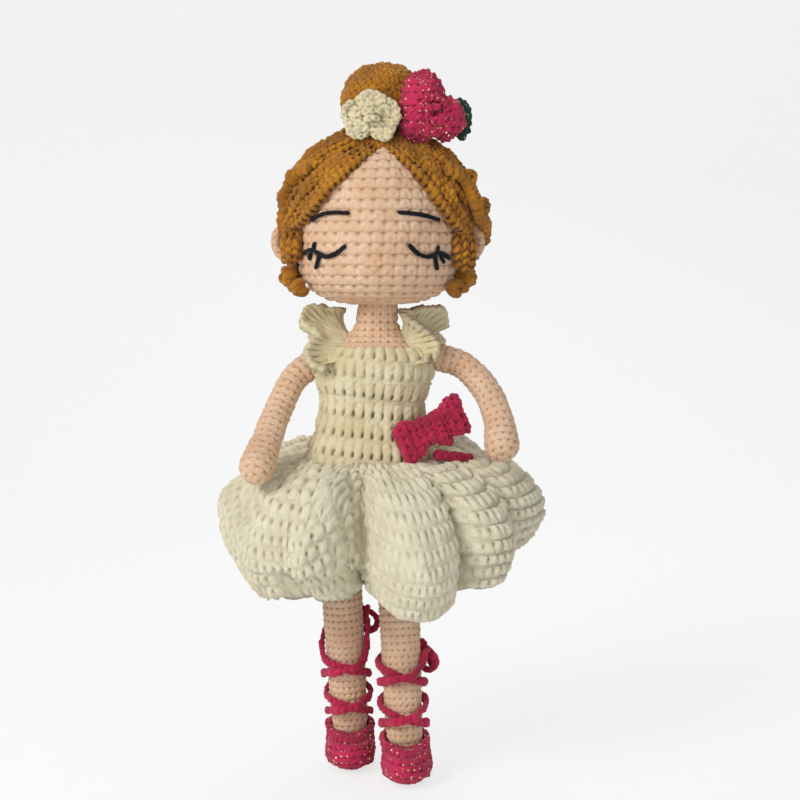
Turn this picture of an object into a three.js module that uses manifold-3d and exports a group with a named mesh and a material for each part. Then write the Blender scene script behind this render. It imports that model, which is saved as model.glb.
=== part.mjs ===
// A crocheted and stuffed ballerina doll: hair bun, flared dress, waist bow and laced ballet shoes.
// Millimetres, +Z up, the face towards -Y, +X to the viewer's right. The origin is on the ground.
// Azimuths are degrees about +Z from the front (-Y) towards +X.
import * as THREE from 'three';
import { mergeVertices } from 'three/addons/utils/BufferGeometryUtils.js';
import Module from 'manifold-3d';

const wasm = await Module();
wasm.setup();

// Driving dimensions
const clearance = 0.3; // between two pieces that touch
const skinWall = 1.5; // a crocheted skin
const overrun = 4; // how far a cut runs past what it cuts
const beyond = 60; // past every side of a head or a foot, for the sides of a cutting box
const hipHeight = 84; // axis of the hips above the ground
const hipSpread = 19; // between the two hip centres
const hipCentreX = -4; // the doll stands with its hips a little to one side
const torsoHeight = 68.1; // from the hip axis to the top of the neck
const shoulderRise = 49.8; // from the hip axis to the shoulder axis
const neckTop = hipHeight + torsoHeight;
const shoulderHeight = hipHeight + shoulderRise;

const head = {
  halfWidth: 26.2,
  halfDepth: 24.9,
  crownHeight: 32,
  chinHeight: 21.6,
  crownPower: 2.3,
  chinPower: 3.2,
  mouthRadius: 4.4,
};
const headLevel = neckTop + clearance + head.chinHeight; // the widest level of the head

const torso = {
  hipHalfWidth: 19.2,
  waistHalfWidth: 14.9,
  bustHalfWidth: 17.4,
  neckRadius: 5.7,
  depthShare: 0.78,
  sectionPower: 2.3,
  // height share, then which half width rules there and how much of it
  profileShares: [
    [-0.03, 'hipHalfWidth', 0.42],
    [0.03, 'hipHalfWidth', 0.78],
    [0.13, 'hipHalfWidth', 0.97],
    [0.27, 'hipHalfWidth', 1.0],
    [0.42, 'waistHalfWidth', 1.07],
    [0.54, 'waistHalfWidth', 1.0],
    [0.67, 'bustHalfWidth', 1.0],
    [0.76, 'bustHalfWidth', 1.0],
    [0.82, 'bustHalfWidth', 0.76],
    [0.87, 'neckRadius', 1.5],
    [0.92, 'neckRadius', 1.05],
    [1.0, 'neckRadius', 1.0],
  ],
};

const arm = {
  length: 42,
  radius: 4.4,
  handRadius: 5.6,
  ballRadius: 4.6,
  shoulderX: 20.4,
  play: 0.8, // the room of the shoulder's hollow, so that the faceted ball turns in it
  // radius shares along the arm, of the arm's radius and, for the hand, of the hand's
  radiusShares: [1.02, 1.0, 1.02, 1.08, 1.0],
};
// Arm centrelines as shares of the arm's length: sideways, forward and up from the shoulder
const armShares = {
  left: [
    [0, 0, 0], [0.155, -0.06, -0.126], [0.264, -0.19, -0.34], [0.345, -0.39, -0.56], [0.405, -0.6, -0.745],
  ],
  right: [
    [0, 0, 0.03], [0.17, -0.03, -0.03], [0.34, -0.12, -0.205], [0.43, -0.27, -0.42], [0.45, -0.4, -0.6],
  ],
};

const leg = {
  ballRadius: 7.2,
  rootRadius: 5.2, // just under the hip ball
  thighRadius: 6.7,
  shinRadius: 6.4,
  ankleRadius: 5.9,
  ankleHeight: 14,
  footHalfWidth: 6.3,
  footHalfLength: 10.8,
  footHalfHeight: 4.2,
  play: 0.05, // the room of the hip's hollow
};
// Where each ankle stands: sideways and forward from the origin
const stance = {
  left: { ankleX: -9.6, ankleY: 4, footX: -9.4, footY: -0.8 },
  right: { ankleX: 8.6, ankleY: -11.5, footX: 9.3, footY: -16.3 },
};

const shoe = { wall: 1.9, soleCut: 0.5, cuffHeight: 16, vampHeight: 10.6 };
const footLevel = leg.footHalfHeight + shoe.wall - shoe.soleCut + clearance;
const lacing = {
  diameter: 2,
  firstHeight: 17.2,
  pitch: 13,
  turns: 1.68,
  stepsPerTurn: 16,
  sides: 5,
  climbStart: 1.38,
  knotStart: 1.3, // the turn from which the two strands lean towards the knot
  liftFromAngle: 14, // degrees from a crossing at which the upper strand starts to come down
  liftToAngle: 48,
};
// The tied bow behind each leg: where it sits round the leg, and how far it lies above the last crossing
const laceBows = {
  left: { azimuth: 150, climb: 12.5, loopLength: 9.5, droopAngle: -52 },
  right: { azimuth: 132, climb: 1.5, loopLength: 8.5, droopAngle: -58 },
};
const laceKnotRadius = 2.1;
const laceLoopWidth = 3.4;

const bodice = { wall: 1.8, seamRise: 15.5, necklineRise: 54.8 };
const skirt = {
  wall: 2.0,
  waistRise: 17.6,
  centreX: 1.2,
  slopeShare: 0.05,
  curlAngle: 124, // degrees that the skirt's profile turns through, so that its hem curls in
  columnAngle: 8, // about how much of a turn each column of faces covers
  rows: 7,
  // one entry a fold: the azimuth of its crease, its reach, hem height and lift, how far the hem rises at the
  // crease, the crease's depth share, and the skew of the swell and its roundness from either side
  folds: [
    { azimuth: -16, reach: 48.5, hem: 56.5, lift: -2, notch: 6,
      creaseShare: 0.4, skew: 1.6, roundFrom: 1.8, roundTo: 0.45 },
    { azimuth: 38, reach: 50.5, hem: 66, lift: 0, notch: 5,
      creaseShare: 0.3, skew: 1, roundFrom: 0.6, roundTo: 0.6 },
    { azimuth: 66, reach: 53.2, hem: 76, lift: 3, notch: 3,
      creaseShare: 0.24, skew: 1, roundFrom: 0.6, roundTo: 0.7 },
    { azimuth: 118, reach: 49, hem: 66, lift: 12, notch: 3,
      creaseShare: 0.2, skew: 1, roundFrom: 0.7, roundTo: 0.7 },
    { azimuth: 160, reach: 46, hem: 60, lift: 12, notch: 3,
      creaseShare: 0.2, skew: 1, roundFrom: 0.7, roundTo: 0.7 },
    { azimuth: 205, reach: 47, hem: 64, lift: 11, notch: 3,
      creaseShare: 0.2, skew: 1, roundFrom: 0.7, roundTo: 0.7 },
    { azimuth: 248, reach: 53, hem: 73, lift: 5, notch: 3,
      creaseShare: 0.14, skew: 1, roundFrom: 0.6, roundTo: 0.6 },
    { azimuth: 286, reach: 50, hem: 62, lift: -1, notch: 0,
      creaseShare: 0, skew: 1, roundFrom: 0.6, roundTo: 0.6 },
    { azimuth: 324, reach: 46.5, hem: 62, lift: -1, notch: 1,
      creaseShare: 0.1, skew: 0.9, roundFrom: 0.7, roundTo: 0.6 },
  ],
};

const ruffle = {
  wall: 1.5,
  innerX: 8.6, // the strap's inner edge
  strapRadius: 8.2, // the strap's arc over the shoulder
  reach: 10.8, // of the frill beyond the strap
  lean: 8.5, // how far the frill leans away from the neck
  wave: 6, // and how much further it leans in its two lobes
  spanAngle: 190,
  waves: 2.5,
  steps: 18,
  centreX: -1,
};

const bow = {
  halfLength: 12.2,
  endHalfHeight: 6.9,
  pinchHalfHeight: 3.6,
  halfThickness: 2.9,
  tilt: 25,
  yaw: 24,
  wrapWall: 1.1,
  wrapHalfWidth: 2.6,
  rise: 29.2, // above the hip axis
  sideX: 17.2,
  forwardY: -13.2,
};
// The long tail starts seatBack to the left of the bow's middle line, and the short one on it
const bowTail = {
  longLength: 15.5,
  shortLength: 6.5,
  diameter: 3.4,
  seatRise: 4.8,
  seatBack: 4,
  droopAngle: -9,
  sides: 6,
};

const bun = { halfWidth: 14, halfHeight: 12.6, centreX: 1.9, centreY: 2.5, rise: 43.4 };
const cap = { wall: 1.7, frontY: -8, napeDrop: 13 };
const ear = { halfWidth: 5.2, halfDepth: 2.4, halfHeight: 6.4, outset: 2.9, forwardY: -2.5, drop: 1.6 };
const thread = { diameter: 1, sides: 4 };

const rose = {
  radius: 11,
  depth: 8.5,
  centreX: 16.6,
  centreY: -8.5,
  rise: 39.2,
  coreRadius: 6.6,
  lobeRing: 4.7,
  heightShare: 1.22, // the ring of lobes is taller than it is wide
  lobes: 3,
  firstLobeAngle: 100, // degrees
};
const flower = {
  radius: 8.9,
  depth: 3.1,
  centreX: -2,
  centreY: -14.2,
  rise: 37.8,
  heightShare: 0.74, // of its width, because it lies on the slope of the hair
  petalRadius: 4.5,
  petals: 5,
  firstPetalAngle: 70, // degrees
};
const leaf = {
  halfLength: 6.4,
  halfWidth: 4,
  halfThickness: 1.5,
  centreX: 26.5,
  centreY: -5,
  rise: 37,
  tilt: 88,
};

const faces = { round: 18, section: 14, limb: 10, ball: 14, bun: 12, small: 8 };

const fullTurn = 360; // degrees
const rad = THREE.MathUtils.degToRad;
const radToDeg = THREE.MathUtils.radToDeg;
const lerp = THREE.MathUtils.lerp;
const clamp = THREE.MathUtils.clamp;
const smoothstep = THREE.MathUtils.smoothstep;

// Solids from points

// A closed geometry from points and quads or triangles, turned so that its faces point out.
function closedGeometry(points, polygons) {
  const triangles = [];
  for (const face of polygons) {
    triangles.push([face[0], face[1], face[2]]);
    if (face.length === 4) triangles.push([face[0], face[2], face[3]]);
  }
  let volume = 0;
  const cross = new THREE.Vector3();
  for (const [a, b, c] of triangles) {
    volume += points[a].dot(cross.crossVectors(points[b], points[c]));
  }
  const index = triangles.flatMap(([a, b, c]) => (volume > 0 ? [a, b, c] : [a, c, b]));
  const geometry = new THREE.BufferGeometry();
  const coordinates = points.flatMap((p) => [p.x, p.y, p.z]);
  geometry.setAttribute('position', new THREE.Float32BufferAttribute(coordinates, 3));
  geometry.setIndex(index);
  return geometry;
}

function toManifold(geometry) {
  const bare = geometry.clone();
  bare.deleteAttribute('normal');
  bare.deleteAttribute('uv');
  const merged = mergeVertices(bare);
  return new wasm.Manifold(new wasm.Mesh({
    numProp: 3,
    vertProperties: new Float32Array(merged.attributes.position.array),
    triVerts: new Uint32Array(merged.index.array),
  }));
}

function toGeometry(manifold) {
  const mesh = manifold.getMesh();
  const geometry = new THREE.BufferGeometry();
  const coordinates = new Float32Array(mesh.vertProperties);
  geometry.setAttribute('position', new THREE.BufferAttribute(coordinates, mesh.numProp));
  geometry.setIndex([...mesh.triVerts]);
  return geometry;
}

const joined = (first, ...rest) => rest.reduce((all, piece) => all.add(piece), first);
const without = (first, ...cutters) => cutters.reduce((left, cutter) => left.subtract(cutter), first);

// The rings, each an equal number of points, are skinned in order and both ends are closed by a fan.
function loft(rings) {
  const count = rings[0].length;
  const points = rings.flat();
  const polygons = [];
  for (let i = 0; i + 1 < rings.length; i += 1) {
    for (let j = 0; j < count; j += 1) {
      const k = (j + 1) % count;
      polygons.push([i * count + j, i * count + k, (i + 1) * count + k, (i + 1) * count + j]);
    }
  }
  const ends = [[rings[0], 0, true], [rings.at(-1), (rings.length - 1) * count, false]];
  for (const [ring, first, flip] of ends) {
    const centre = ring.reduce((sum, p) => sum.add(p), new THREE.Vector3()).divideScalar(count);
    const hub = points.push(centre) - 1;
    for (let j = 0; j < count; j += 1) {
      const k = (j + 1) % count;
      polygons.push(flip ? [first + k, first + j, hub] : [first + j, first + k, hub]);
    }
  }
  return toManifold(closedGeometry(points, polygons));
}

// A cloth-like body: place(u, v, side) gives its outer face at side 1 and its inner face at side 0.
function sheet(rows, columns, place) {
  const width = columns + 1;
  const points = [];
  for (const side of [1, 0]) {
    for (let i = 0; i <= rows; i += 1) {
      for (let j = 0; j <= columns; j += 1) points.push(place(i / rows, j / columns, side));
    }
  }
  const at = (i, j, side) => (side ? 0 : (rows + 1) * width) + i * width + j;
  const polygons = [];
  for (let i = 0; i < rows; i += 1) {
    for (let j = 0; j < columns; j += 1) {
      polygons.push([at(i, j, 1), at(i, j + 1, 1), at(i + 1, j + 1, 1), at(i + 1, j, 1)]);
      polygons.push([at(i, j, 0), at(i + 1, j, 0), at(i + 1, j + 1, 0), at(i, j + 1, 0)]);
    }
    for (const [j, flip] of [[0, false], [columns, true]]) {
      const wall = [at(i, j, 1), at(i + 1, j, 1), at(i + 1, j, 0), at(i, j, 0)];
      polygons.push(flip ? wall.reverse() : wall);
    }
  }
  for (let j = 0; j < columns; j += 1) {
    for (const [i, flip] of [[0, true], [rows, false]]) {
      const wall = [at(i, j, 1), at(i, j + 1, 1), at(i, j + 1, 0), at(i, j, 0)];
      polygons.push(flip ? wall.reverse() : wall);
    }
  }
  return toManifold(closedGeometry(points, polygons));
}

function ellipsoid(centre, halfX, halfY, halfZ, around = faces.small) {
  const geometry = new THREE.SphereGeometry(1, around, Math.round(around * 0.6));
  geometry.rotateX(Math.PI / 2);
  geometry.scale(halfX, halfY, halfZ);
  geometry.translate(centre.x, centre.y, centre.z);
  return toManifold(geometry);
}

function box(low, high) {
  const size = new THREE.Vector3().subVectors(high, low);
  const geometry = new THREE.BoxGeometry(size.x, size.y, size.z);
  geometry.translate((low.x + high.x) / 2, (low.y + high.y) / 2, (low.z + high.z) / 2);
  return toManifold(geometry);
}

// A round cord along points, swept with a section of a few sides.
function cord(points, diameter, sides, steps) {
  const radius = diameter / 2;
  const corners = Array.from({ length: sides }, (_, i) => {
    const turn = (i / sides) * Math.PI * 2;
    return new THREE.Vector2(Math.cos(turn) * radius, Math.sin(turn) * radius);
  });
  const path = new THREE.CatmullRomCurve3(points);
  const options = { steps, extrudePath: path, bevelEnabled: false };
  return toManifold(new THREE.ExtrudeGeometry(new THREE.Shape(corners), options));
}

// The least gap between two stretches of one cord that lie more than a few diameters apart along it.
function leastSelfGap(points, diameter) {
  const path = new THREE.CatmullRomCurve3(points);
  const steps = 240;
  const samples = path.getSpacedPoints(steps);
  const spacing = path.getLength() / steps;
  const skip = Math.ceil((diameter * 3) / spacing);
  let least = Infinity;
  for (let i = 0; i < samples.length; i += 1) {
    for (let j = i + skip; j < samples.length; j += 1) {
      least = Math.min(least, samples[i].distanceTo(samples[j]) - diameter);
    }
  }
  return least;
}

// A limb: round rings on a smooth centreline, with a half ball before the first ring and after the last.
function limb(centres, radii, grow, around = faces.limb, startCap = true, stations = 7) {
  const path = new THREE.CatmullRomCurve3(centres);
  const spine = [];
  for (let i = 0; i <= stations; i += 1) {
    const share = i / stations;
    const slot = share * (radii.length - 1);
    const low = Math.min(Math.floor(slot), radii.length - 2);
    const radius = lerp(radii[low], radii[low + 1], slot - low) + grow;
    spine.push({ at: path.getPoint(share), dir: path.getTangent(share), radius });
  }
  const capRings = (end, sign) => [0.5, 0.86].map((depthShare) => ({
    at: end.at.clone().addScaledVector(end.dir, sign * end.radius * depthShare),
    dir: end.dir,
    radius: end.radius * Math.sqrt(1 - depthShare * depthShare),
  }));
  const front = startCap ? capRings(spine[0], -1).reverse() : [];
  const all = [...front, ...spine, ...capRings(spine.at(-1), 1)];
  const forward = new THREE.Vector3(0, -1, 0);
  return loft(all.map(({ at, dir, radius }) => {
    const across = new THREE.Vector3().crossVectors(forward, dir).normalize();
    const ahead = new THREE.Vector3().crossVectors(dir, across);
    return Array.from({ length: around }, (_, j) => {
      const turn = (j / around) * Math.PI * 2;
      const aside = Math.cos(turn) * radius;
      return at.clone().addScaledVector(across, aside).addScaledVector(ahead, Math.sin(turn) * radius);
    });
  }));
}

// Head

// A point of the head's surface, grown outwards: azimuth round it and polar angle from the crown, in degrees.
function headPoint(azimuth, polar, grow) {
  const upper = polar <= 90;
  const power = upper ? head.crownPower : head.chinPower;
  const height = (upper ? head.crownHeight : -head.chinHeight) + (upper ? grow : -grow);
  const ring = Math.sin(rad(polar)) ** (2 / power);
  const rise = Math.abs(Math.cos(rad(polar))) ** (2 / power);
  return new THREE.Vector3(
    (head.halfWidth + grow) * ring * Math.sin(rad(azimuth)),
    -(head.halfDepth + grow) * ring * Math.cos(rad(azimuth)),
    headLevel + height * rise,
  );
}

function headForm(grow, around = faces.round) {
  const levels = [10, 24, 38, 52, 65, 78, 90, 103, 117, 132, 148, 166];
  return loft(levels.map((polar) => (
    Array.from({ length: around }, (_, j) => headPoint((j / around) * fullTurn, polar, grow)))));
}

function headSkin() {
  const mouth = box(
    new THREE.Vector3(-head.mouthRadius, -head.mouthRadius, neckTop - overrun),
    new THREE.Vector3(head.mouthRadius, head.mouthRadius, neckTop + skinWall + overrun),
  );
  return without(headForm(0), headForm(-skinWall, faces.limb), mouth);
}

// Torso

const axisX = (height) => hipCentreX * clamp(1 - (height - hipHeight) / torsoHeight, 0, 1);

function torsoLevels(grow, top) {
  const rows = torso.profileShares.map(([heightShare, size, widthShare]) => {
    const halfWidth = torso[size] * widthShare;
    const round = size === 'neckRadius';
    const halfDepth = halfWidth * (round ? 1 : torso.depthShare);
    return { height: hipHeight + torsoHeight * heightShare, halfWidth, halfDepth };
  });
  rows[0].height -= grow;
  rows.at(-1).height = top;
  return rows.map(({ height, halfWidth, halfDepth }) => (
    { height, halfWidth: halfWidth + grow, halfDepth: halfDepth + grow }));
}

// A point of a flattened round section in the direction of an azimuth.
function sectionPoint(row, azimuth) {
  const side = Math.sin(rad(azimuth));
  const front = Math.cos(rad(azimuth));
  const power = torso.sectionPower;
  const sum = Math.abs(side / row.halfWidth) ** power + Math.abs(front / row.halfDepth) ** power;
  const reach = sum ** (-1 / power);
  return new THREE.Vector3(axisX(row.height) + reach * side, -reach * front, row.height);
}

function torsoForm(grow, top = neckTop + grow) {
  const around = faces.section;
  return loft(torsoLevels(grow, top).map((row) => (
    Array.from({ length: around }, (_, j) => sectionPoint(row, (j / around) * fullTurn)))));
}

// The torso's row at any height, for what is sewn round it.
function torsoRow(height, grow) {
  const rows = torsoLevels(grow, neckTop);
  const next = clamp(rows.findIndex((row) => row.height >= height), 1, rows.length - 1);
  const low = rows[next - 1];
  const high = rows[next];
  const share = (height - low.height) / (high.height - low.height);
  return {
    height,
    halfWidth: lerp(low.halfWidth, high.halfWidth, share),
    halfDepth: lerp(low.halfDepth, high.halfDepth, share),
  };
}

// Limbs

const sides = { left: -1, right: 1 };
const shoulder = (name) => new THREE.Vector3(sides[name] * arm.shoulderX, 0, shoulderHeight);
const hip = (name) => new THREE.Vector3(hipCentreX + (sides[name] * hipSpread) / 2, 0, hipHeight);

function armCentres(name) {
  const start = shoulder(name);
  return armShares[name].map(([out, ahead, up]) => (
    new THREE.Vector3(sides[name] * out, ahead, up).multiplyScalar(arm.length).add(start)));
}

function armRadii() {
  return arm.radiusShares.map((share, i, all) => (i === all.length - 1 ? arm.handRadius : arm.radius) * share);
}

const armForm = (name, grow) => joined(limb(armCentres(name), armRadii(), grow), shoulderBall(name, grow));

// The room inside an arm, open at the shoulder where the arm is sewn on.
function armHollow(name, grow, reachOut) {
  const centres = armCentres(name);
  const back = new THREE.Vector3().subVectors(centres[0], centres[1]).normalize();
  const start = centres[0].clone().addScaledVector(back, reachOut);
  return limb([start, ...centres], [arm.radius, ...armRadii()], grow, faces.small, false, 5);
}

function legCentres(name) {
  const foot = stance[name];
  const top = hip(name);
  const ankle = new THREE.Vector3(foot.ankleX, foot.ankleY, leg.ankleHeight);
  const heel = new THREE.Vector3(foot.footX, foot.footY + leg.footHalfLength / 2, footLevel);
  return [top, top.clone().lerp(ankle, 0.33), top.clone().lerp(ankle, 0.67), ankle, heel];
}

function footForm(name, grow) {
  const foot = stance[name];
  return ellipsoid(
    new THREE.Vector3(foot.footX, foot.footY, footLevel),
    leg.footHalfWidth + grow,
    leg.footHalfLength + grow,
    leg.footHalfHeight + grow,
    faces.limb,
  );
}

const legRadii = () => [leg.rootRadius, leg.thighRadius, leg.shinRadius, leg.ankleRadius, leg.footHalfHeight];
const hipBall = (name, grow) => ellipsoid(
  hip(name), leg.ballRadius + grow, leg.ballRadius + grow, leg.ballRadius + grow, faces.ball);

const legForm = (name, grow) => joined(
  limb(legCentres(name), legRadii(), grow),
  hipBall(name, grow),
  footForm(name, grow),
);

function legHollow(name, grow, reachOut) {
  const centres = legCentres(name).slice(0, -1);
  const radii = legRadii().slice(0, -1);
  const start = centres[0].clone().add(new THREE.Vector3(0, 0, reachOut));
  return limb([start, ...centres], [leg.rootRadius, ...radii], grow, faces.small, false, 5);
}

function limbPieces(name) {
  const armSkin = without(armForm(name, 0), armHollow(name, -skinWall, arm.ballRadius + overrun));
  const legSkin = without(legForm(name, 0), legHollow(name, -skinWall, leg.ballRadius + overrun));
  return {
    armSkin,
    legSkin,
    armStuffing: armHollow(name, -skinWall - clearance, skinWall),
    legStuffing: legHollow(name, -skinWall - clearance, skinWall),
  };
}

const hipCutters = (grow) => ['left', 'right'].map((name) => hipBall(name, grow));
const shoulderBall = (name, grow, around = faces.limb) => ellipsoid(
  shoulder(name), arm.ballRadius + grow, arm.ballRadius + grow, arm.ballRadius + grow, around);
const shoulderCutters = (grow, around) => ['left', 'right'].map((name) => shoulderBall(name, grow, around));

// The filled room of the torso: it starts above the hip sockets and stays clear of the shoulders.
function torsoRoom(grow, top) {
  const floor = hipHeight + leg.ballRadius + leg.play - grow + clearance * 2;
  const rows = torsoLevels(grow, top).filter((row) => row.height > floor);
  const first = torsoRow(floor, grow);
  const room = loft([first, ...rows].map((row) => (
    Array.from({ length: faces.limb }, (_, j) => sectionPoint(row, (j / faces.limb) * fullTurn)))));
  return without(room, ...shoulderCutters(clearance * 2 + arm.play - grow, faces.small));
}

function torsoPieces() {
  const skin = without(
    torsoForm(0, neckTop),
    ...hipCutters(clearance + leg.play),
    ...shoulderCutters(clearance + arm.play),
    torsoRoom(-skinWall, neckTop + overrun),
  );
  return { skin, stuffing: torsoRoom(-skinWall - clearance, neckTop) };
}

// Dress

const bodiceForm = (grow) => torsoForm(clearance + bodice.wall + grow);

function bodiceSolid() {
  const low = hipHeight + bodice.seamRise;
  const high = hipHeight + bodice.necklineRise;
  const wide = torso.hipHalfWidth + bodice.wall + overrun * 2;
  const slab = box(new THREE.Vector3(-wide, -wide, low), new THREE.Vector3(wide, wide, high));
  return without(
    bodiceForm(0).intersect(slab),
    torsoForm(clearance),
    ...shoulderCutters(clearance + arm.play),
    armForm('left', clearance),
    armForm('right', clearance),
  );
}

// Each fold swells between two creases, and its reach, hem and lift pass smoothly into the next fold's.
function foldAt(azimuth) {
  const folds = skirt.folds;
  const index = folds.findLastIndex((fold) => fold.azimuth <= azimuth);
  const fold = folds[index];
  const next = folds[(index + 1) % folds.length];
  const before = folds[(index + folds.length - 1) % folds.length];
  const end = index + 1 < folds.length ? next.azimuth : next.azimuth + fullTurn;
  const along = (azimuth - fold.azimuth) / (end - fold.azimuth);
  const blend = Math.sin(Math.PI * along);
  const neighbour = along < 0.5 ? before : next;
  const mix = (key) => lerp((fold[key] + neighbour[key]) / 2, fold[key], blend);
  const pass = (key) => lerp(fold[key], next[key], smoothstep(along, 0, 1));
  const roundness = lerp(fold.roundFrom, fold.roundTo, smoothstep(along, 0, 1));
  const swell = Math.sin(Math.PI * along ** fold.skew) ** roundness;
  const hem = mix('hem') + pass('notch') * (1 - swell) ** 1.5;
  return { reach: mix('reach'), hem, lift: mix('lift'), crease: pass('creaseShare'), swell };
}

// A point of the skirt: azimuth round the waist, down from 0 at the waist to 1 at the hem.
function skirtPoint(azimuth, down, offset) {
  const fold = foldAt(azimuth);
  const waist = hipHeight + skirt.waistRise;
  const row = torsoRow(waist, clearance * 2 + bodice.wall);
  const start = sectionPoint(row, azimuth);
  const startReach = Math.hypot(start.x - axisX(waist), start.y);
  const profile = (share) => {
    const turn = rad(share * skirt.curlAngle);
    const reach = fold.reach * (1 - fold.crease * share ** 0.7 * (1 - fold.swell));
    const fall = (1 - Math.cos(turn)) / (1 - Math.cos(rad(skirt.curlAngle)));
    const drop = lerp(fall, share, skirt.slopeShare);
    const height = waist - (waist - fold.hem) * drop + fold.lift * Math.sin(Math.PI * share);
    return { reach: lerp(startReach, reach, Math.sin(turn)), height };
  };
  const here = profile(down);
  const step = 0.02;
  const ahead = profile(down + step);
  const normal = new THREE.Vector2(here.height - ahead.height, ahead.reach - here.reach).normalize();
  const reach = here.reach + normal.x * offset * smoothstep(down, 0, 0.1);
  const centreX = lerp(axisX(waist), skirt.centreX, down);
  return new THREE.Vector3(
    centreX + reach * Math.sin(rad(azimuth)),
    -reach * Math.cos(rad(azimuth)),
    here.height + normal.y * offset,
  );
}

// The skirt is one sheet closed round the body: an outer and an inner face joined at the waist and the hem.
function skirtSolid(grow) {
  const azimuths = skirt.folds.flatMap((fold, index) => {
    const next = skirt.folds[(index + 1) % skirt.folds.length].azimuth;
    const end = next > fold.azimuth ? next : next + fullTurn;
    const columns = Math.max(4, Math.round((end - fold.azimuth) / skirt.columnAngle));
    return Array.from({ length: columns }, (_, j) => lerp(fold.azimuth, end, j / columns));
  });
  const half = skirt.wall / 2 + grow;
  const loops = azimuths.map((azimuth) => {
    const outer = Array.from({ length: skirt.rows + 1 }, (_, i) => skirtPoint(azimuth, i / skirt.rows, half));
    const inner = Array.from({ length: skirt.rows + 1 }, (_, i) => skirtPoint(azimuth, i / skirt.rows, -half));
    return [...outer, ...inner.reverse()];
  });
  const count = loops[0].length;
  const polygons = [];
  loops.forEach((_, i) => {
    const next = (i + 1) % loops.length;
    for (let j = 0; j < count; j += 1) {
      const k = (j + 1) % count;
      polygons.push([i * count + j, next * count + j, next * count + k, i * count + k]);
    }
  });
  return toManifold(closedGeometry(loops.flat(), polygons));
}

// A frill that fans out from the shoulder strap, round the shoulder's own axis.
function rufflePiece(name) {
  const side = sides[name];
  const place = (along, out, face) => {
    const turn = rad(lerp(-ruffle.spanAngle / 2, ruffle.spanAngle / 2, along));
    const wave = 0.5 - 0.5 * Math.cos(turn * ruffle.waves);
    const acrossX = ruffle.lean + ruffle.wave * wave;
    const fade = Math.sin(Math.PI * clamp(along, 0.06, 0.94)) ** 0.35;
    const reach = ruffle.reach * fade;
    const halfWall = (face ? 0.5 : -0.5) * ruffle.wall;
    const slant = new THREE.Vector2(reach, -acrossX).normalize().multiplyScalar(halfWall);
    const x = ruffle.innerX + acrossX * out * out ** 0.2 + slant.x;
    const radius = ruffle.strapRadius + reach * out + slant.y;
    return new THREE.Vector3(
      ruffle.centreX + side * x,
      radius * Math.sin(turn),
      shoulderHeight + radius * Math.cos(turn),
    );
  };
  const headRoom = clearance * 3;
  const around = [bodiceForm(clearance), torsoForm(clearance), headForm(headRoom)];
  return without(sheet(ruffle.steps, 3, place), ...around);
}

// Waist bow

const bowCentre = () => new THREE.Vector3(bow.sideX, bow.forwardY, hipHeight + bow.rise);

function bowFrame() {
  const along = new THREE.Vector3(Math.cos(rad(bow.tilt)), 0, Math.sin(rad(bow.tilt))).applyAxisAngle(
    new THREE.Vector3(0, 0, 1), rad(bow.yaw));
  const ahead = new THREE.Vector3(0, -1, 0).applyAxisAngle(new THREE.Vector3(0, 0, 1), rad(bow.yaw));
  return { along, ahead, up: new THREE.Vector3().crossVectors(along, ahead).negate() };
}

// Half height and half thickness of the pinched band, by its distance from the middle.
function bowSection(share) {
  const away = Math.abs(share);
  const spread = smoothstep(away, 0.1, 0.75);
  return {
    halfHeight: lerp(bow.pinchHalfHeight, bow.endHalfHeight, spread),
    halfThickness: bow.halfThickness * lerp(0.8, 1, Math.sin(Math.PI * clamp(away, 0, 1))),
  };
}

function bowRing(share, grow) {
  const { along, ahead, up } = bowFrame();
  const { halfHeight, halfThickness } = bowSection(share);
  const centre = bowCentre().addScaledVector(along, share * bow.halfLength);
  return Array.from({ length: faces.limb }, (_, j) => {
    const turn = (j / faces.limb) * Math.PI * 2;
    const high = Math.sign(Math.sin(turn)) * Math.abs(Math.sin(turn)) ** 0.6 * (halfHeight + grow);
    const deep = Math.sign(Math.cos(turn)) * Math.abs(Math.cos(turn)) ** 0.6 * (halfThickness + grow);
    return centre.clone().addScaledVector(up, high).addScaledVector(ahead, deep);
  });
}

function bowBand(grow) {
  const shares = [-1, -0.75, -0.5, -0.25, 0, 0.25, 0.5, 0.75, 1];
  const stretch = 1 + grow / bow.halfLength;
  return loft(shares.map((share) => bowRing(share * stretch, grow)));
}

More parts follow.
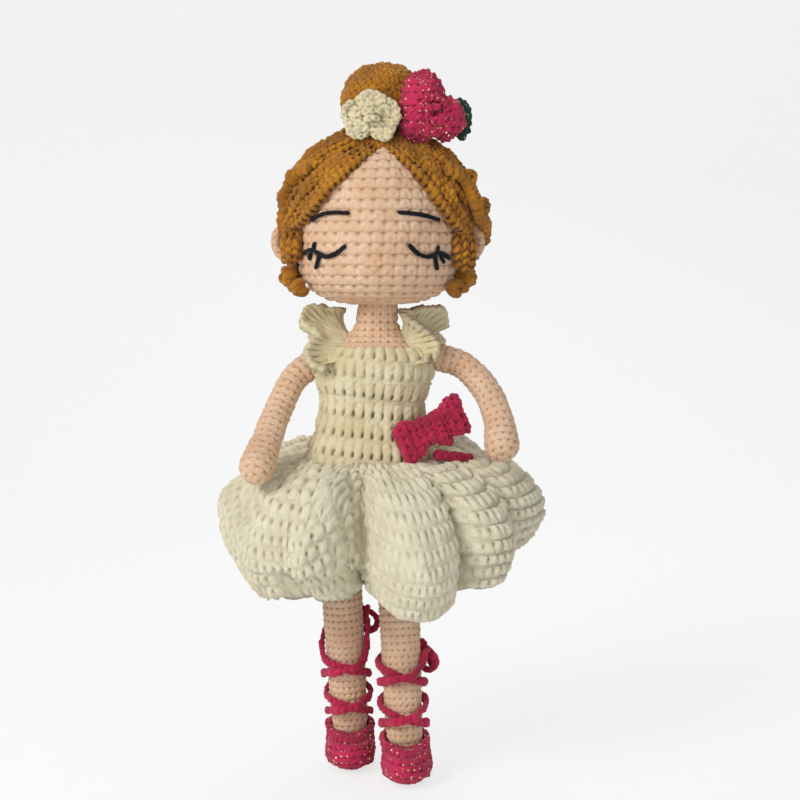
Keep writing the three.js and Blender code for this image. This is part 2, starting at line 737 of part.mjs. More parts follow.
function bowPieces(skirtGrown) {
  const wrapShare = bow.wrapHalfWidth / bow.halfLength;
  const wrapOuter = loft([-1, -0.5, 0, 0.5, 1].map((s) => bowRing(s * wrapShare, clearance + bow.wrapWall)));
  const rest = [bodiceForm(clearance), skirtGrown];
  const band = without(bowBand(0), ...rest);
  const wrap = without(wrapOuter, bowBand(clearance), ...rest);
  const { ahead, up } = bowFrame();
  const seat = bowCentre().addScaledVector(up, -bow.pinchHalfHeight - bowTail.seatRise);
  const tail = (length, lift, back) => {
    const droop = rad(bowTail.droopAngle);
    const way = new THREE.Vector3(Math.cos(droop), 0, Math.sin(droop)).applyAxisAngle(
      new THREE.Vector3(0, 0, 1), rad(bow.yaw));
    const start = seat.clone().addScaledVector(up, lift).addScaledVector(way, -back);
    const points = [0, 0.35, 0.7, 1].map((share) => (
      start.clone()
        .addScaledVector(way, length * share)
        .addScaledVector(ahead, (-share * share * bowTail.diameter) / 2)));
    return cord(points, bowTail.diameter, bowTail.sides, 7);
  };
  const wrapGrown = joined(wrapOuter, loft([-1, 0, 1].map((s) => (
    bowRing(s * (wrapShare + clearance / bow.halfLength), clearance * 2 + bow.wrapWall)))));
  const around = [...rest, bowBand(clearance), wrapGrown];
  const longTail = without(tail(bowTail.longLength, 0, bowTail.seatBack), ...around);
  const shortLift = bowTail.diameter + clearance * 4;
  const shortTail = without(tail(bowTail.shortLength, shortLift, 0), ...around);
  return { band, wrap, longTail, shortTail };
}

// Shoes and lacing

function shoeSolid(name) {
  const foot = stance[name];
  const outer = joined(
    footForm(name, clearance + shoe.wall),
    limb(legCentres(name), legRadii(), clearance + shoe.wall).intersect(
      box(new THREE.Vector3(-beyond, -beyond, footLevel), new THREE.Vector3(beyond, beyond, shoe.cuffHeight))),
  );
  const frontY = foot.footY - leg.footHalfLength * 0.55;
  const backY = foot.footY + leg.footHalfLength;
  const slant = Math.atan2(shoe.cuffHeight - shoe.vampHeight, backY - frontY);
  const opening = new THREE.BoxGeometry(beyond, beyond, beyond);
  opening.translate(0, 0, beyond / 2);
  opening.rotateX(slant);
  opening.translate(foot.footX, frontY, shoe.vampHeight);
  const ground = box(new THREE.Vector3(-beyond, -beyond, -beyond), new THREE.Vector3(beyond, beyond, 0));
  return without(outer, legForm(name, clearance), toManifold(opening), ground);
}

// The centre of the leg at a height, and its radius there.
function legAt(name, height) {
  const path = new THREE.CatmullRomCurve3(legCentres(name));
  let low = 0;
  let high = 0.8;
  for (let i = 0; i < 30; i += 1) {
    const middle = (low + high) / 2;
    if (path.getPoint(middle).z > height) low = middle;
    else high = middle;
  }
  const radii = legRadii();
  const slot = low * (radii.length - 1);
  const floor = Math.min(Math.floor(slot), radii.length - 2);
  return { centre: path.getPoint(low), radius: lerp(radii[floor], radii[floor + 1], slot - floor) };
}

// One lacing strand: it starts at the side of the shoe and winds up the leg, and the upper strand lifts
// over the lower one wherever they cross.
function lacingPoints(name, hand, lifted) {
  const bowSeat = laceBows[name];
  const startAzimuth = 90 * hand;
  const total = Math.round(lacing.turns * lacing.stepsPerTurn);
  const points = [];
  for (let i = 0; i <= total; i += 1) {
    const turns = (i / total) * lacing.turns;
    const climb = smoothstep(turns, lacing.climbStart, lacing.turns) * bowSeat.climb;
    const height = lacing.firstHeight + lacing.pitch * turns + climb;
    const knotShift = smoothstep(turns, lacing.knotStart, lacing.turns) * (bowSeat.azimuth - 180);
    const azimuth = startAzimuth - hand * fullTurn * turns + knotShift;
    const { centre, radius } = legAt(name, height);
    const fromCrossing = ((turns + 0.25) % 0.5) * fullTurn;
    const nearest = Math.min(fromCrossing, 180 - fromCrossing);
    const crossing = 1 - smoothstep(nearest, lacing.liftFromAngle, lacing.liftToAngle);
    const lift = lifted ? (lacing.diameter + clearance) * crossing : 0;
    const reach = radius + clearance + lacing.diameter / 2 + lift;
    points.push(new THREE.Vector3(
      centre.x + reach * Math.sin(rad(azimuth)), centre.y - reach * Math.cos(rad(azimuth)), height));
  }
  return points;
}

function lacingStrand(name, hand, lifted) {
  const points = lacingPoints(name, hand, lifted);
  const gap = leastSelfGap(points, lacing.diameter);
  console.log(`${name} lacing strand: least gap to itself ${gap.toFixed(2)} mm`);
  return cord(points, lacing.diameter, lacing.sides, points.length - 1);
}

function knotCentre(name) {
  const seat = laceBows[name];
  const height = lacing.firstHeight + lacing.pitch * lacing.turns + seat.climb;
  const { centre, radius } = legAt(name, height);
  const reach = radius + clearance + laceKnotRadius;
  return new THREE.Vector3(
    centre.x + reach * Math.sin(rad(seat.azimuth)),
    centre.y - reach * Math.cos(rad(seat.azimuth)),
    height,
  );
}

// A tied bow: a knot with two drooping loops, each a lens shaped loop of cord, and two hanging ends.
function laceBow(name) {
  const seat = laceBows[name];
  const knot = knotCentre(name);
  const outward = new THREE.Vector3(Math.sin(rad(seat.azimuth)), -Math.cos(rad(seat.azimuth)), 0);
  const across = new THREE.Vector3(Math.cos(rad(seat.azimuth)), Math.sin(rad(seat.azimuth)), 0);
  const up = new THREE.Vector3(0, 0, 1);
  const pieces = [ellipsoid(knot, laceKnotRadius, laceKnotRadius, laceKnotRadius, 8)];
  for (const hand of [-1, 1]) {
    const way = across.clone()
      .multiplyScalar(hand * Math.cos(rad(seat.droopAngle)))
      .addScaledVector(up, Math.sin(rad(seat.droopAngle)));
    const wide = new THREE.Vector3().crossVectors(outward, way);
    const steps = 10;
    const loop = Array.from({ length: steps + 1 }, (_, i) => {
      const turn = (i / steps) * Math.PI;
      const reach = seat.loopLength * Math.sin(turn);
      return knot.clone()
        .addScaledVector(way, reach)
        .addScaledVector(wide, laceLoopWidth * Math.sin(2 * turn))
        .addScaledVector(outward, 0.12 * reach);
    });
    pieces.push(cord(loop, lacing.diameter, lacing.sides, steps));
    const fall = across.clone()
      .multiplyScalar(hand * 0.35)
      .addScaledVector(up, -1)
      .addScaledVector(outward, 0.15);
    const end = [0, 0.4, 0.7, 1].map((share) => knot.clone()
      .addScaledVector(fall, seat.loopLength * 0.9 * share)
      .addScaledVector(outward, lacing.diameter * 0.8 * Math.sin((Math.PI * share) / 2)));
    pieces.push(cord(end, lacing.diameter, lacing.sides, end.length - 1));
  }
  const strands = [1, -1].map((hand) => {
    const points = lacingPoints(name, hand, hand < 0);
    return cord(points, lacing.diameter + clearance * 2, lacing.sides, points.length - 1);
  });
  return without(joined(...pieces), legForm(name, clearance), ...strands);
}

// Hair, flowers, ears and stitched features

const capOuter = (grow) => headForm(clearance + cap.wall + grow).intersect(box(
  new THREE.Vector3(-beyond, cap.frontY - grow, headLevel - cap.napeDrop - grow),
  new THREE.Vector3(beyond, beyond, headLevel + head.crownHeight * 2)));

const bunForm = (grow) => ellipsoid(
  new THREE.Vector3(bun.centreX, bun.centreY, headLevel + bun.rise),
  bun.halfWidth + grow, bun.halfWidth + grow, bun.halfHeight + grow, faces.bun);

const earForm = (name, grow) => ellipsoid(
  new THREE.Vector3(sides[name] * (head.halfWidth + ear.outset), ear.forwardY, headLevel - ear.drop),
  ear.halfWidth + grow, ear.halfDepth + grow, ear.halfHeight + grow);

// A smooth route on the head through pairs of azimuth and polar angle, which runs straight on past both ends.
function route(pairs) {
  const points = pairs.map(([azimuth, polar]) => new THREE.Vector3(azimuth, polar, 0));
  const curve = new THREE.CatmullRomCurve3(points);
  const length = curve.getLength();
  return (share) => {
    const inside = clamp(share, 0, 1);
    return curve.getPoint(inside).addScaledVector(curve.getTangent(inside), (share - inside) * length);
  };
}

// A swept lock of hair: strands side by side between a front and a rear route, each a rounded ridge.
const swoops = {
  left: {
    frontAngles: [[7, 31], [-17, 50.5], [-30, 64.5], [-42, 75], [-56, 83.5], [-78, 88.5]],
    rearAngles: [[-30, 14], [-80, 30], [-102, 52], [-110, 72], [-110, 100]],
    rearRise: 5,
    strands: 8,
  },
  right: {
    frontAngles: [[8.5, 31], [24, 50.5], [35.5, 64.5], [44, 75.5], [54, 84], [76, 89.5]],
    rearAngles: [[45, 14], [84, 30], [102, 52], [110, 72], [110, 100]],
    rearRise: 7.4,
    strands: 8,
  },
};
const hairRise = { front: 3.8, ridge: 1.3, sink: 2.2 };
const backHair = { azimuthFrom: 108, azimuthTo: 252, polarTop: 14, polarBottom: 116, strands: 9, rise: 5.4 };

function swoopForm(name, grow) {
  const lock = swoops[name];
  const front = route(lock.frontAngles);
  const rear = route(lock.rearAngles);
  const edge = grow / head.halfWidth;
  const place = (along, across, face) => {
    const reached = lerp(-edge, 1 + edge, along);
    const fore = front(reached);
    const aft = rear(reached);
    const azimuth = lerp(fore.x, aft.x, across) - sides[name] * (0.5 - across) * radToDeg(edge) * 1.5;
    const polar = lerp(fore.y, aft.y, across);
    const ridge = Math.abs(Math.sin(Math.PI * lock.strands * across)) ** 0.6;
    const taper = lerp(0.42, 1, smoothstep(along, 0, 0.8));
    const rise = (lerp(hairRise.front, lock.rearRise, across ** 0.8) - hairRise.ridge * (1 - ridge)) * taper;
    return headPoint(azimuth, polar, face ? rise + grow : -hairRise.sink);
  };
  return joined(sheet(8, lock.strands * 2, place), ...knobs[name].map((knob) => eggForm(name, knob, grow)));
}

function backForm(grow) {
  const edge = radToDeg(grow / head.halfWidth);
  const place = (along, across, face) => {
    const azimuth = lerp(backHair.azimuthFrom - edge, backHair.azimuthTo + edge, across);
    const polar = lerp(backHair.polarTop, backHair.polarBottom + edge, along);
    const ridge = Math.abs(Math.sin(Math.PI * backHair.strands * across)) ** 0.6;
    const swell = 1 + 0.18 * smoothstep(along, 0.7, 1);
    const rise = (backHair.rise - hairRise.ridge * (1 - ridge)) * swell;
    return headPoint(azimuth, polar, face ? rise + grow : -hairRise.sink);
  };
  return sheet(7, backHair.strands * 2, place);
}

// A rounded lock: an egg on one side of the head at an azimuth and polar angle.
function eggForm(name, { azimuth, polar, rise, halfX, halfY, halfZ }, grow) {
  const centre = headPoint(sides[name] * azimuth, polar, rise);
  return ellipsoid(centre, halfX + grow, halfY + grow, halfZ + grow);
}

const sideLocks = {
  left: { azimuth: 70, polar: 92.5, rise: 2.6, halfX: 3.4, halfY: 3.2, halfZ: 5.6 },
  right: { azimuth: 70, polar: 94.5, rise: 2.8, halfX: 3.9, halfY: 3.4, halfZ: 6.2 },
};
const curls = [
  { azimuth: 84, polar: 110, rise: 3.2, halfX: 3.6, halfY: 4.6, halfZ: 4.4 },
  { azimuth: 70, polar: 121, rise: 2.4, halfX: 3.2, halfY: 3.8, halfZ: 3.8 },
  { azimuth: 101, polar: 115, rise: 3.0, halfX: 4.0, halfY: 4.8, halfZ: 4.6 },
];
// The ends of strands that stand out from the swept hair
const knobs = {
  left: [
    { azimuth: 67, polar: 66.5, rise: 4.6, halfX: 2.4, halfY: 3.4, halfZ: 2.6 },
    { azimuth: 65, polar: 77, rise: 4.6, halfX: 2.6, halfY: 3.4, halfZ: 3.2 },
  ],
  right: [
    { azimuth: 63, polar: 69.5, rise: 5.2, halfX: 3, halfY: 3.6, halfZ: 3.2 },
    { azimuth: 70, polar: 83, rise: 8, halfX: 2.8, halfY: 3.8, halfZ: 4.4 },
    { azimuth: 92, polar: 90.5, rise: 8, halfX: 1.9, halfY: 2.6, halfZ: 4.6 },
  ],
};
const lockForm = (name, grow) => eggForm(name, sideLocks[name], grow);
const curlForm = (name, grow) => joined(...curls.map((curl) => eggForm(name, curl, grow)));

function roseForm(grow) {
  const centre = new THREE.Vector3(rose.centreX, rose.centreY, headLevel + rose.rise);
  const core = ellipsoid(centre, rose.coreRadius + grow, rose.depth + grow, rose.coreRadius + grow);
  const petals = Array.from({ length: rose.lobes }, (_, i) => {
    const turn = rad(rose.firstLobeAngle + (i * fullTurn) / rose.lobes);
    const way = new THREE.Vector3(Math.cos(turn), 0, Math.sin(turn) * rose.heightShare);
    const at = centre.clone().addScaledVector(way, rose.lobeRing);
    const half = rose.radius - rose.lobeRing;
    return ellipsoid(at, half + grow, rose.depth * 0.82 + grow, half + grow);
  });
  return joined(core, ...petals);
}

function flowerForm(grow) {
  const centre = new THREE.Vector3(flower.centreX, flower.centreY, headLevel + flower.rise);
  const ring = flower.radius - flower.petalRadius;
  const halfWidth = flower.petalRadius + grow;
  const halfHeight = flower.petalRadius * flower.heightShare + grow;
  const petals = Array.from({ length: flower.petals }, (_, i) => {
    const turn = rad(flower.firstPetalAngle + (i * fullTurn) / flower.petals);
    const way = new THREE.Vector3(Math.cos(turn), 0, Math.sin(turn) * flower.heightShare);
    const at = centre.clone().addScaledVector(way, ring);
    return ellipsoid(at, halfWidth, flower.depth + grow, halfHeight);
  });
  return joined(ellipsoid(centre, halfWidth, flower.depth * 1.2 + grow, halfHeight), ...petals);
}

function leafForm() {
  const geometry = new THREE.SphereGeometry(1, 12, 8);
  geometry.scale(leaf.halfLength, leaf.halfThickness, leaf.halfWidth);
  geometry.rotateY(rad(leaf.tilt));
  geometry.rotateZ(rad(bow.yaw));
  geometry.translate(leaf.centreX, leaf.centreY, headLevel + leaf.rise);
  return toManifold(geometry);
}

// Stitched threads lie on the head: brows as one arc, lids as one arc with short lashes.
const stitchAngles = {
  left_brow: [[[-52.8, 83.6], [-36.5, 79.9], [-18.1, 80]]],
  right_brow: [[[13.5, 79.6], [29.2, 80.5], [48, 83.2]]],
  left_eyelid: [
    [[-62.4, 96], [-52, 94], [-44.2, 95.4], [-37, 97.6], [-30.5, 96.5], [-20.7, 91.9]],
    [[-52, 95], [-53.4, 100.3]],
    [[-42, 95.8], [-48, 107.2]],
  ],
  right_eyelid: [
    [[21.5, 91.6], [28.9, 96], [37, 97.7], [46.8, 95.4], [60.1, 99]],
    [[42, 96.5], [46.7, 108]],
    [[47, 95.6], [53.1, 102.4]],
  ],
};

function stitchSolid(lines, hairOver) {
  const rise = clearance + thread.diameter / 2;
  const pieces = lines.map((pairs) => {
    const points = pairs.map(([azimuth, polar]) => headPoint(azimuth, polar, rise));
    return cord(points, thread.diameter, thread.sides, (pairs.length - 1) * 3);
  });
  return without(joined(...pieces), headForm(clearance / 3), ...hairOver);
}

function hairPieces() {
  const gap = clearance;
  const ears = ['left', 'right'].map((name) => earForm(name, gap));
  const base = [headForm(gap), capOuter(gap)];
  const bunGrown = bunForm(gap);
  const left = without(swoopForm('left', 0), ...base, bunGrown, ...ears);
  const right = without(swoopForm('right', 0), swoopForm('left', gap), ...base, bunGrown, ...ears);
  const strandsGrown = [swoopForm('left', gap), swoopForm('right', gap)];
  const back = without(
    backForm(0), swoopForm('left', 0), swoopForm('right', 0), ...strandsGrown, ...base, bunGrown, ...ears);
  const backGrown = backForm(gap);
  const lock = (name) => without(lockForm(name, 0), ...strandsGrown, backGrown, ...base, ...ears);
  const curl = (name) => without(
    curlForm(name, 0), lockForm(name, gap), ...strandsGrown, backGrown, ...base, ...ears);
  const capShell = without(capOuter(0), headForm(gap), bunGrown, ...ears);
  const earPiece = (name) => without(earForm(name, 0), headForm(gap));
  const bunSkinSolid = without(bunForm(0), headForm(gap));
  const bunInner = without(bunForm(-skinWall), headForm(gap + skinWall));
  const halfMouth = bun.halfWidth / 4;
  const mouth = box(
    new THREE.Vector3(bun.centreX - halfMouth, bun.centreY - halfMouth, headLevel + head.crownHeight / 2),
    new THREE.Vector3(bun.centreX + halfMouth, bun.centreY + halfMouth, headLevel + bun.rise),
  );
  const rosePiece = without(roseForm(0), bunGrown, ...strandsGrown, ...base, backGrown);
  const flowerPiece = without(flowerForm(0), roseForm(gap), bunGrown, ...strandsGrown, ...base);
  const leafPiece = without(
    leafForm(), roseForm(gap), flowerForm(gap), bunGrown, ...strandsGrown, backGrown, ...base);
  return {
    hair_cap: capShell,
    hair_swoop_left: left,
    hair_swoop_right: right,
    hair_back: back,
    side_lock_left: lock('left'),
    side_lock_right: lock('right'),
    curls_left: curl('left'),
    curls_right: curl('right'),
    left_ear: earPiece('left'),
    right_ear: earPiece('right'),
    hair_bun: without(bunSkinSolid, bunInner, mouth),
    hair_bun_stuffing: without(bunForm(-skinWall - gap), headForm(gap * 2 + skinWall)),
    pink_rose: rosePiece,
    white_flower: flowerPiece,
    green_leaf: leafPiece,
  };
}

// Colours, from the object
const finishes = {
  skin: { color: '#efc9ae', roughness: 0.9 },
  hair: { color: '#b5762a', roughness: 0.85 },
  cream: { color: '#e6e0c6', roughness: 0.9 },
  pink: { color: '#c92f5c', roughness: 0.8 },
  green: { color: '#12402b', roughness: 0.8 },
  black: { color: '#15131a', roughness: 0.7 },
  fill: { color: '#f4f2ee', roughness: 1 },
};

const doll = new THREE.Group();

// The largest body of a piece is kept, because a cut can leave loose slivers beside it.
function addPiece(name, manifold, finishName) {
  const bodies = manifold.decompose();
  const largest = bodies.reduce((best, body) => (body.volume() > best.volume() ? body : best));
  const material = new THREE.MeshStandardMaterial({ ...finishes[finishName], metalness: 0 });
  const mesh = new THREE.Mesh(toGeometry(largest), material);
  mesh.name = name;
  doll.add(mesh);
}

const torsoParts = torsoPieces();
addPiece('torso', torsoParts.skin, 'skin');
addPiece('torso_stuffing', torsoParts.stuffing, 'fill');
addPiece('head', headSkin(), 'skin');
addPiece('head_stuffing', headForm(-skinWall - clearance, faces.limb), 'fill');
const hairOver = ['left', 'right'].flatMap((name) => (
  [swoopForm(name, clearance), lockForm(name, clearance)]));
for (const [name, lines] of Object.entries(stitchAngles)) addPiece(name, stitchSolid(lines, hairOver), 'black');
for (const name of ['left', 'right']) {
  const limbs = limbPieces(name);
  addPiece(`${name}_arm`, limbs.armSkin, 'skin');
  addPiece(`${name}_arm_stuffing`, limbs.armStuffing, 'fill');
  addPiece(`${name}_leg`, limbs.legSkin, 'skin');
  addPiece(`${name}_leg_stuffing`, limbs.legStuffing, 'fill');
  addPiece(`${name}_shoe`, shoeSolid(name), 'pink');
  addPiece(`${name}_lacing_under`, lacingStrand(name, 1, false), 'pink');
  addPiece(`${name}_lacing_over`, lacingStrand(name, -1, true), 'pink');
  addPiece(`${name}_lacing_bow`, laceBow(name), 'pink');
  addPiece(`${name}_ruffle`, rufflePiece(name), 'cream');
}
addPiece('bodice', bodiceSolid(), 'cream');
addPiece('skirt', skirtSolid(0), 'cream');
const bowParts = bowPieces(skirtSolid(clearance));
addPiece('bow_band', bowParts.band, 'pink');
addPiece('bow_wrap', bowParts.wrap, 'pink');
addPiece('bow_tail_long', bowParts.longTail, 'pink');
addPiece('bow_tail_short', bowParts.shortTail, 'pink');
const hairFinish = {
  left_ear: 'skin',
  right_ear: 'skin',
  hair_bun_stuffing: 'fill',
  pink_rose: 'pink',
  white_flower: 'cream',
  green_leaf: 'green',
};
for (const [name, piece] of Object.entries(hairPieces())) addPiece(name, piece, hairFinish[name] ?? 'hair');

export default doll;
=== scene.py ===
"""Dresses the crochet doll: every skin gets its stitches, the hair its braided strands and the dress its posts.

Lengths in this file are millimetres, turned to metres when a mesh is made. Azimuths are degrees about +Z from
the front (-Y) towards +X, and polar angles are degrees down from the crown of the head.
"""
import bpy
import numpy as np
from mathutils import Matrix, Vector


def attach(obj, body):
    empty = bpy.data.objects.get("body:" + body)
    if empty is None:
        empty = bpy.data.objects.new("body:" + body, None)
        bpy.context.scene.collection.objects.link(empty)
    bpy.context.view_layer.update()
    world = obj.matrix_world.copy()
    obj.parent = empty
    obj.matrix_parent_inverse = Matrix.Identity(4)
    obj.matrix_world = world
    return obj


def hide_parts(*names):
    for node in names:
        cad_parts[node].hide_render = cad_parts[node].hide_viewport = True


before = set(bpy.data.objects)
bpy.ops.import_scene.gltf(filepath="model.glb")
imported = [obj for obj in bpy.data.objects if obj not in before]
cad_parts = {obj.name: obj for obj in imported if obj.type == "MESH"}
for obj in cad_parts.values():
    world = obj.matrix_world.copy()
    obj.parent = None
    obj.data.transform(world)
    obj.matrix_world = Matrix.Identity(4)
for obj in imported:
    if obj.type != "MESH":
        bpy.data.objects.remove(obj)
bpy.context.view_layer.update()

MM = 0.001
TAU = 2 * np.pi

# Sizes shared with the construction

CLEARANCE = 0.3
HIP_HEIGHT = 84
HIP_CENTRE_X = -4
HIP_SPREAD = 19
TORSO_HEIGHT = 68.1
HIPS, WAIST, CHEST, NECK = 19.2, 14.9, 17.4, 5.7  # half widths of the torso
DEPTH_SHARE = 0.78
SHOULDER_HEIGHT = HIP_HEIGHT + 49.8
SHOULDER_X = 20.4
NECK_TOP = HIP_HEIGHT + TORSO_HEIGHT
HEAD_HALF_WIDTH, HEAD_HALF_DEPTH = 26.2, 24.9
CROWN, CHIN = 32, 21.6  # above and below the head's widest level
HEAD_LEVEL = NECK_TOP + CLEARANCE + CHIN
ARM_LENGTH, ARM_RADIUS, HAND_RADIUS = 42, 4.4, 5.6
LEG_RADII = [5.2, 6.7, 6.4, 5.9, 4.2]
ANKLE_HEIGHT = 14.0
FOOT = np.array([6.3, 10.8, 4.2])
SHOE_WALL = 1.9
SOLE_CUT = 0.5
FOOT_LEVEL = FOOT[2] + SHOE_WALL - SOLE_CUT + CLEARANCE
BODICE_WALL = 1.8
SEAM = HIP_HEIGHT + 15.5
NECKLINE = HIP_HEIGHT + 54.8
WAIST_RISE = 17.6
SIDES = {"left": -1, "right": 1}

# How fine each piece is crocheted

GAUGE = {  # row height, stitch width and stitch depth
    "head": (3.45, 3.85, 0.72), "torso": (2.6, 2.6, 0.42), "arm": (2.65, 2.7, 0.5), "leg": (2.25, 2.15, 0.4),
    "foot": (2.3, 2.3, 0.2), "hip": (2.4, 2.4, 0.1), "bodice": (6.35, 3.5, 1.05), "skirt": (5.4, 2.8, 1.3),
    "skirt inside": (5.4, 2.75, 0.35), "cap": (3.2, 3.2, 0.35), "bun": (2.5, 2.9, 0.5), "ear": (2.3, 2.3, 0.26),
    "rose": (2.6, 2.7, 0.6), "flower": (2.4, 2.4, 0.3), "petal": (2.3, 2.3, 0.42), "leaf": (2.4, 2.3, 0.55),
    "bow": (2.7, 2.9, 0.62), "wrap": (2.4, 2.8, 0.45), "shoe": (2.5, 2.6, 0.5), "knot": (1.9, 2.0, 0.3),
}


# Materials

def linear(hex_colour):
    """The linear RGBA of an sRGB hex colour."""
    parts = [int(hex_colour[i:i + 2], 16) / 255 for i in (1, 3, 5)]
    return [c / 12.92 if c <= 0.04045 else ((c + 0.055) / 1.055) ** 2.4 for c in parts] + [1.0]


def node(tree, kind, inputs=None, **settings):
    """A new node with its settings; inputs are values or sockets by name or number."""
    made = tree.nodes.new(kind)
    for key, value in settings.items():
        setattr(made, key, value)
    for key, value in (inputs or {}).items():
        if isinstance(value, bpy.types.NodeSocket):
            tree.links.new(value, made.inputs[key])
        else:
            made.inputs[key].default_value = value
    return made


def ramp(tree, value, low, high):
    """value mapped from low..high to 0..1 and clamped."""
    return node(tree, "ShaderNodeMapRange", {0: value, 1: low, 2: high}).outputs[0]


def mix(tree, share, a, b):
    """Colour a to b by share."""
    return node(tree, "ShaderNodeMix", {0: share, 6: a, 7: b}, data_type="RGBA").outputs[2]


FIBRE = 0.55  # a clump of fibres, in millimetres
GLINT = 0.9  # a facet of the metallic thread, drawn coarse enough to show


def yarn(name, slot, light, shade, deep, fuzz=0.8, glint=None, sheen=0.15):
    """Matt cotton yarn and its slot: patches of about 9 mm and fibre clumps of about half a millimetre, with
    painted shade, the colour deep, mixed in where the attribute hollow says that light doesn't reach, with thread
    glints where a glint colour is given."""
    material = bpy.data.materials.new(name)
    material.use_nodes = True
    tree = material.node_tree
    shader = tree.nodes["Principled BSDF"]
    place = node(tree, "ShaderNodeTexCoord").outputs["Object"]
    broad = node(tree, "ShaderNodeTexNoise", {"Vector": place, "Scale": 110.0, "Detail": 4.0}).outputs[0]
    fine = node(tree, "ShaderNodeTexNoise", {"Vector": place, "Scale": 1 / (FIBRE * MM), "Detail": 4.0,
                                             "Roughness": 0.7, "Distortion": 0.6}).outputs[0]
    painted_shade = node(tree, "ShaderNodeAttribute", attribute_name="painted_shade").outputs["Fac"]
    tone = mix(tree, ramp(tree, broad, 0.35, 0.65), linear(shade), linear(light))
    tone = mix(tree, ramp(tree, fine, 0.3, 0.62), linear(shade), tone)
    # painted shade: the colour deep mixed in by the shade attribute of each point
    tone = mix(tree, ramp(tree, painted_shade, 0.0, 1.0), tone, linear(deep))
    tree.links.new(tone, shader.inputs["Base Color"])
    shader.inputs["Roughness"].default_value = 0.92
    shader.inputs["Sheen Weight"].default_value = sheen
    shader.inputs["Sheen Roughness"].default_value = 0.6
    shader.inputs["IOR"].default_value = 1.45
    shader.inputs["Specular IOR Level"].default_value = 0.25
    bump = node(tree, "ShaderNodeBump", {"Strength": fuzz, "Distance": 0.35 * MM, "Height": fine}).outputs[0]
    tree.links.new(bump, shader.inputs["Normal"])
    if glint:
        cells = node(tree, "ShaderNodeTexVoronoi", {"Vector": place, "Scale": 1 / (GLINT * MM)})
        parts = node(tree, "ShaderNodeSeparateColor", {0: cells.outputs["Color"]})
        rare = ramp(tree, parts.outputs[0], 0.84, 0.845)
        near = ramp(tree, cells.outputs["Distance"], 0.38, 0.32)
        mask = node(tree, "ShaderNodeMath", {0: rare, 1: near}, operation="MULTIPLY").outputs[0]
        normal = node(tree, "ShaderNodeNewGeometry").outputs["Normal"]
        tilt = node(tree, "ShaderNodeVectorMath", {0: cells.outputs["Color"], 1: (0.5, 0.5, 0.5)},
                    operation="SUBTRACT").outputs[0]
        facet = node(tree, "ShaderNodeVectorMath", {0: normal, 1: tilt}, operation="ADD").outputs[0]
        facet = node(tree, "ShaderNodeVectorMath", {0: facet}, operation="NORMALIZE").outputs[0]
        gold = node(tree, "ShaderNodeBsdfPrincipled",
                    {"Base Color": linear(glint), "Metallic": 0.35, "Roughness": 0.25, "Normal": facet})
        both = node(tree, "ShaderNodeMixShader", {0: mask, 1: shader.outputs[0], 2: gold.outputs[0]})
        tree.links.new(both.outputs[0], tree.nodes["Material Output"].inputs[0])
    return material, slot


# Cotton worked in tight single crochet: a matt, warm peach, with brown painted shade in the holes
SKIN = yarn("Skin coloured cotton yarn", "skin_yarn", "#eacdb0", "#d8b08e", "#9c6946")
# Cotton in braided strands: golden, with deep brown painted shade between the lobes
HAIR = yarn("Golden brown cotton yarn", "hair_yarn", "#d4901a", "#905a08", "#3a1d01")
# Unbleached cotton of the bodice: matt and yellowish, with olive painted shade in its slits
CREAM = yarn("Cream cotton yarn", "cream_yarn", "#e9dfc0", "#d3c69e", "#7b6e46")
# The skirt's paler cotton, with a paler painted shade in its loose stitches
MILK = yarn("Milk white cotton yarn", "cream_yarn", "#ece5cd", "#dad2b6", "#979070")
# Dyed cotton: a deep, even pink, with wine red painted shade in the hollows
PINK = yarn("Deep pink cotton yarn", "pink_yarn", "#db2d5d", "#a3143b", "#56061d")
# The same cotton and a dark green one, each spun with a metallic thread that glints in points, and each with a
# darker painted shade in the hollows
GLITTER_PINK = yarn("Pink cotton with gold thread", "pink_glitter_yarn", "#dc3064", "#a51742", "#5b0720",
                    glint="#ffd9a0")
GLITTER_GREEN = yarn("Dark green cotton with glitter thread", "green_glitter_yarn", "#0f4b2f", "#08321d",
                     "#021009", glint="#9fd6b4")
# Stranded embroidery thread: smooth and nearly black, with a blacker painted shade in its hollows
BLACK = yarn("Black embroidery thread", "black_thread", "#1c1920", "#0d0c10", "#040405", fuzz=0.3, sheen=0.05)


# Meshes

def faces(rows, cols, loop=False):
    """(quads, triangles) over rings of points that close on themselves. The ends get a fan of triangles to a
    pole, or the last ring joins the first when loop is true."""
    i = np.arange(rows if loop else rows - 1)[:, None]
    j = np.arange(cols)
    beside, after = (j + 1) % cols, (i + 1) % rows
    corners = np.broadcast_arrays(i * cols + j, i * cols + beside, after * cols + beside, after * cols + j)
    quads = np.stack(corners, -1).reshape(-1, 4)
    if loop:
        return quads, np.zeros((0, 3), int)
    base, pole = (rows - 1) * cols, np.full(cols, rows * cols)
    start = np.stack([beside, j, pole], -1)
    end = np.stack([base + j, base + beside, pole + 1], -1)
    return quads, np.vstack([start, end])


def closed(points, loop=False):
    """The points of the rings as one list, with a pole in the middle of each end ring unless loop is true."""
    poles = [] if loop else [[points[0].mean(0), points[-1].mean(0)]]
    return np.vstack([points.reshape(-1, 3), *poles])


def normals(points, loop=False):
    """Unit normals of a grid of rings, from the differences of neighbouring points."""
    across = np.roll(points, -1, 1) - np.roll(points, 1, 1)
    along = np.roll(points, -1, 0) - np.roll(points, 1, 0) if loop else np.gradient(points, axis=0)
    out = np.cross(across, along)
    return out / np.maximum(np.linalg.norm(out, axis=-1, keepdims=True), 1e-9)


def rough(points, size, seed=5):
    """Smooth chance bumps from about -1 to 1: a sum of ten sines of wavelength near size, in chance directions."""
    chance = np.random.default_rng(seed)
    ways = unit(chance.normal(size=(10, 3))) * chance.uniform(0.75, 1.35, (10, 1)) * TAU / size
    return np.sin(points @ ways.T + chance.uniform(0, TAU, 10)).sum(-1) / 3.2


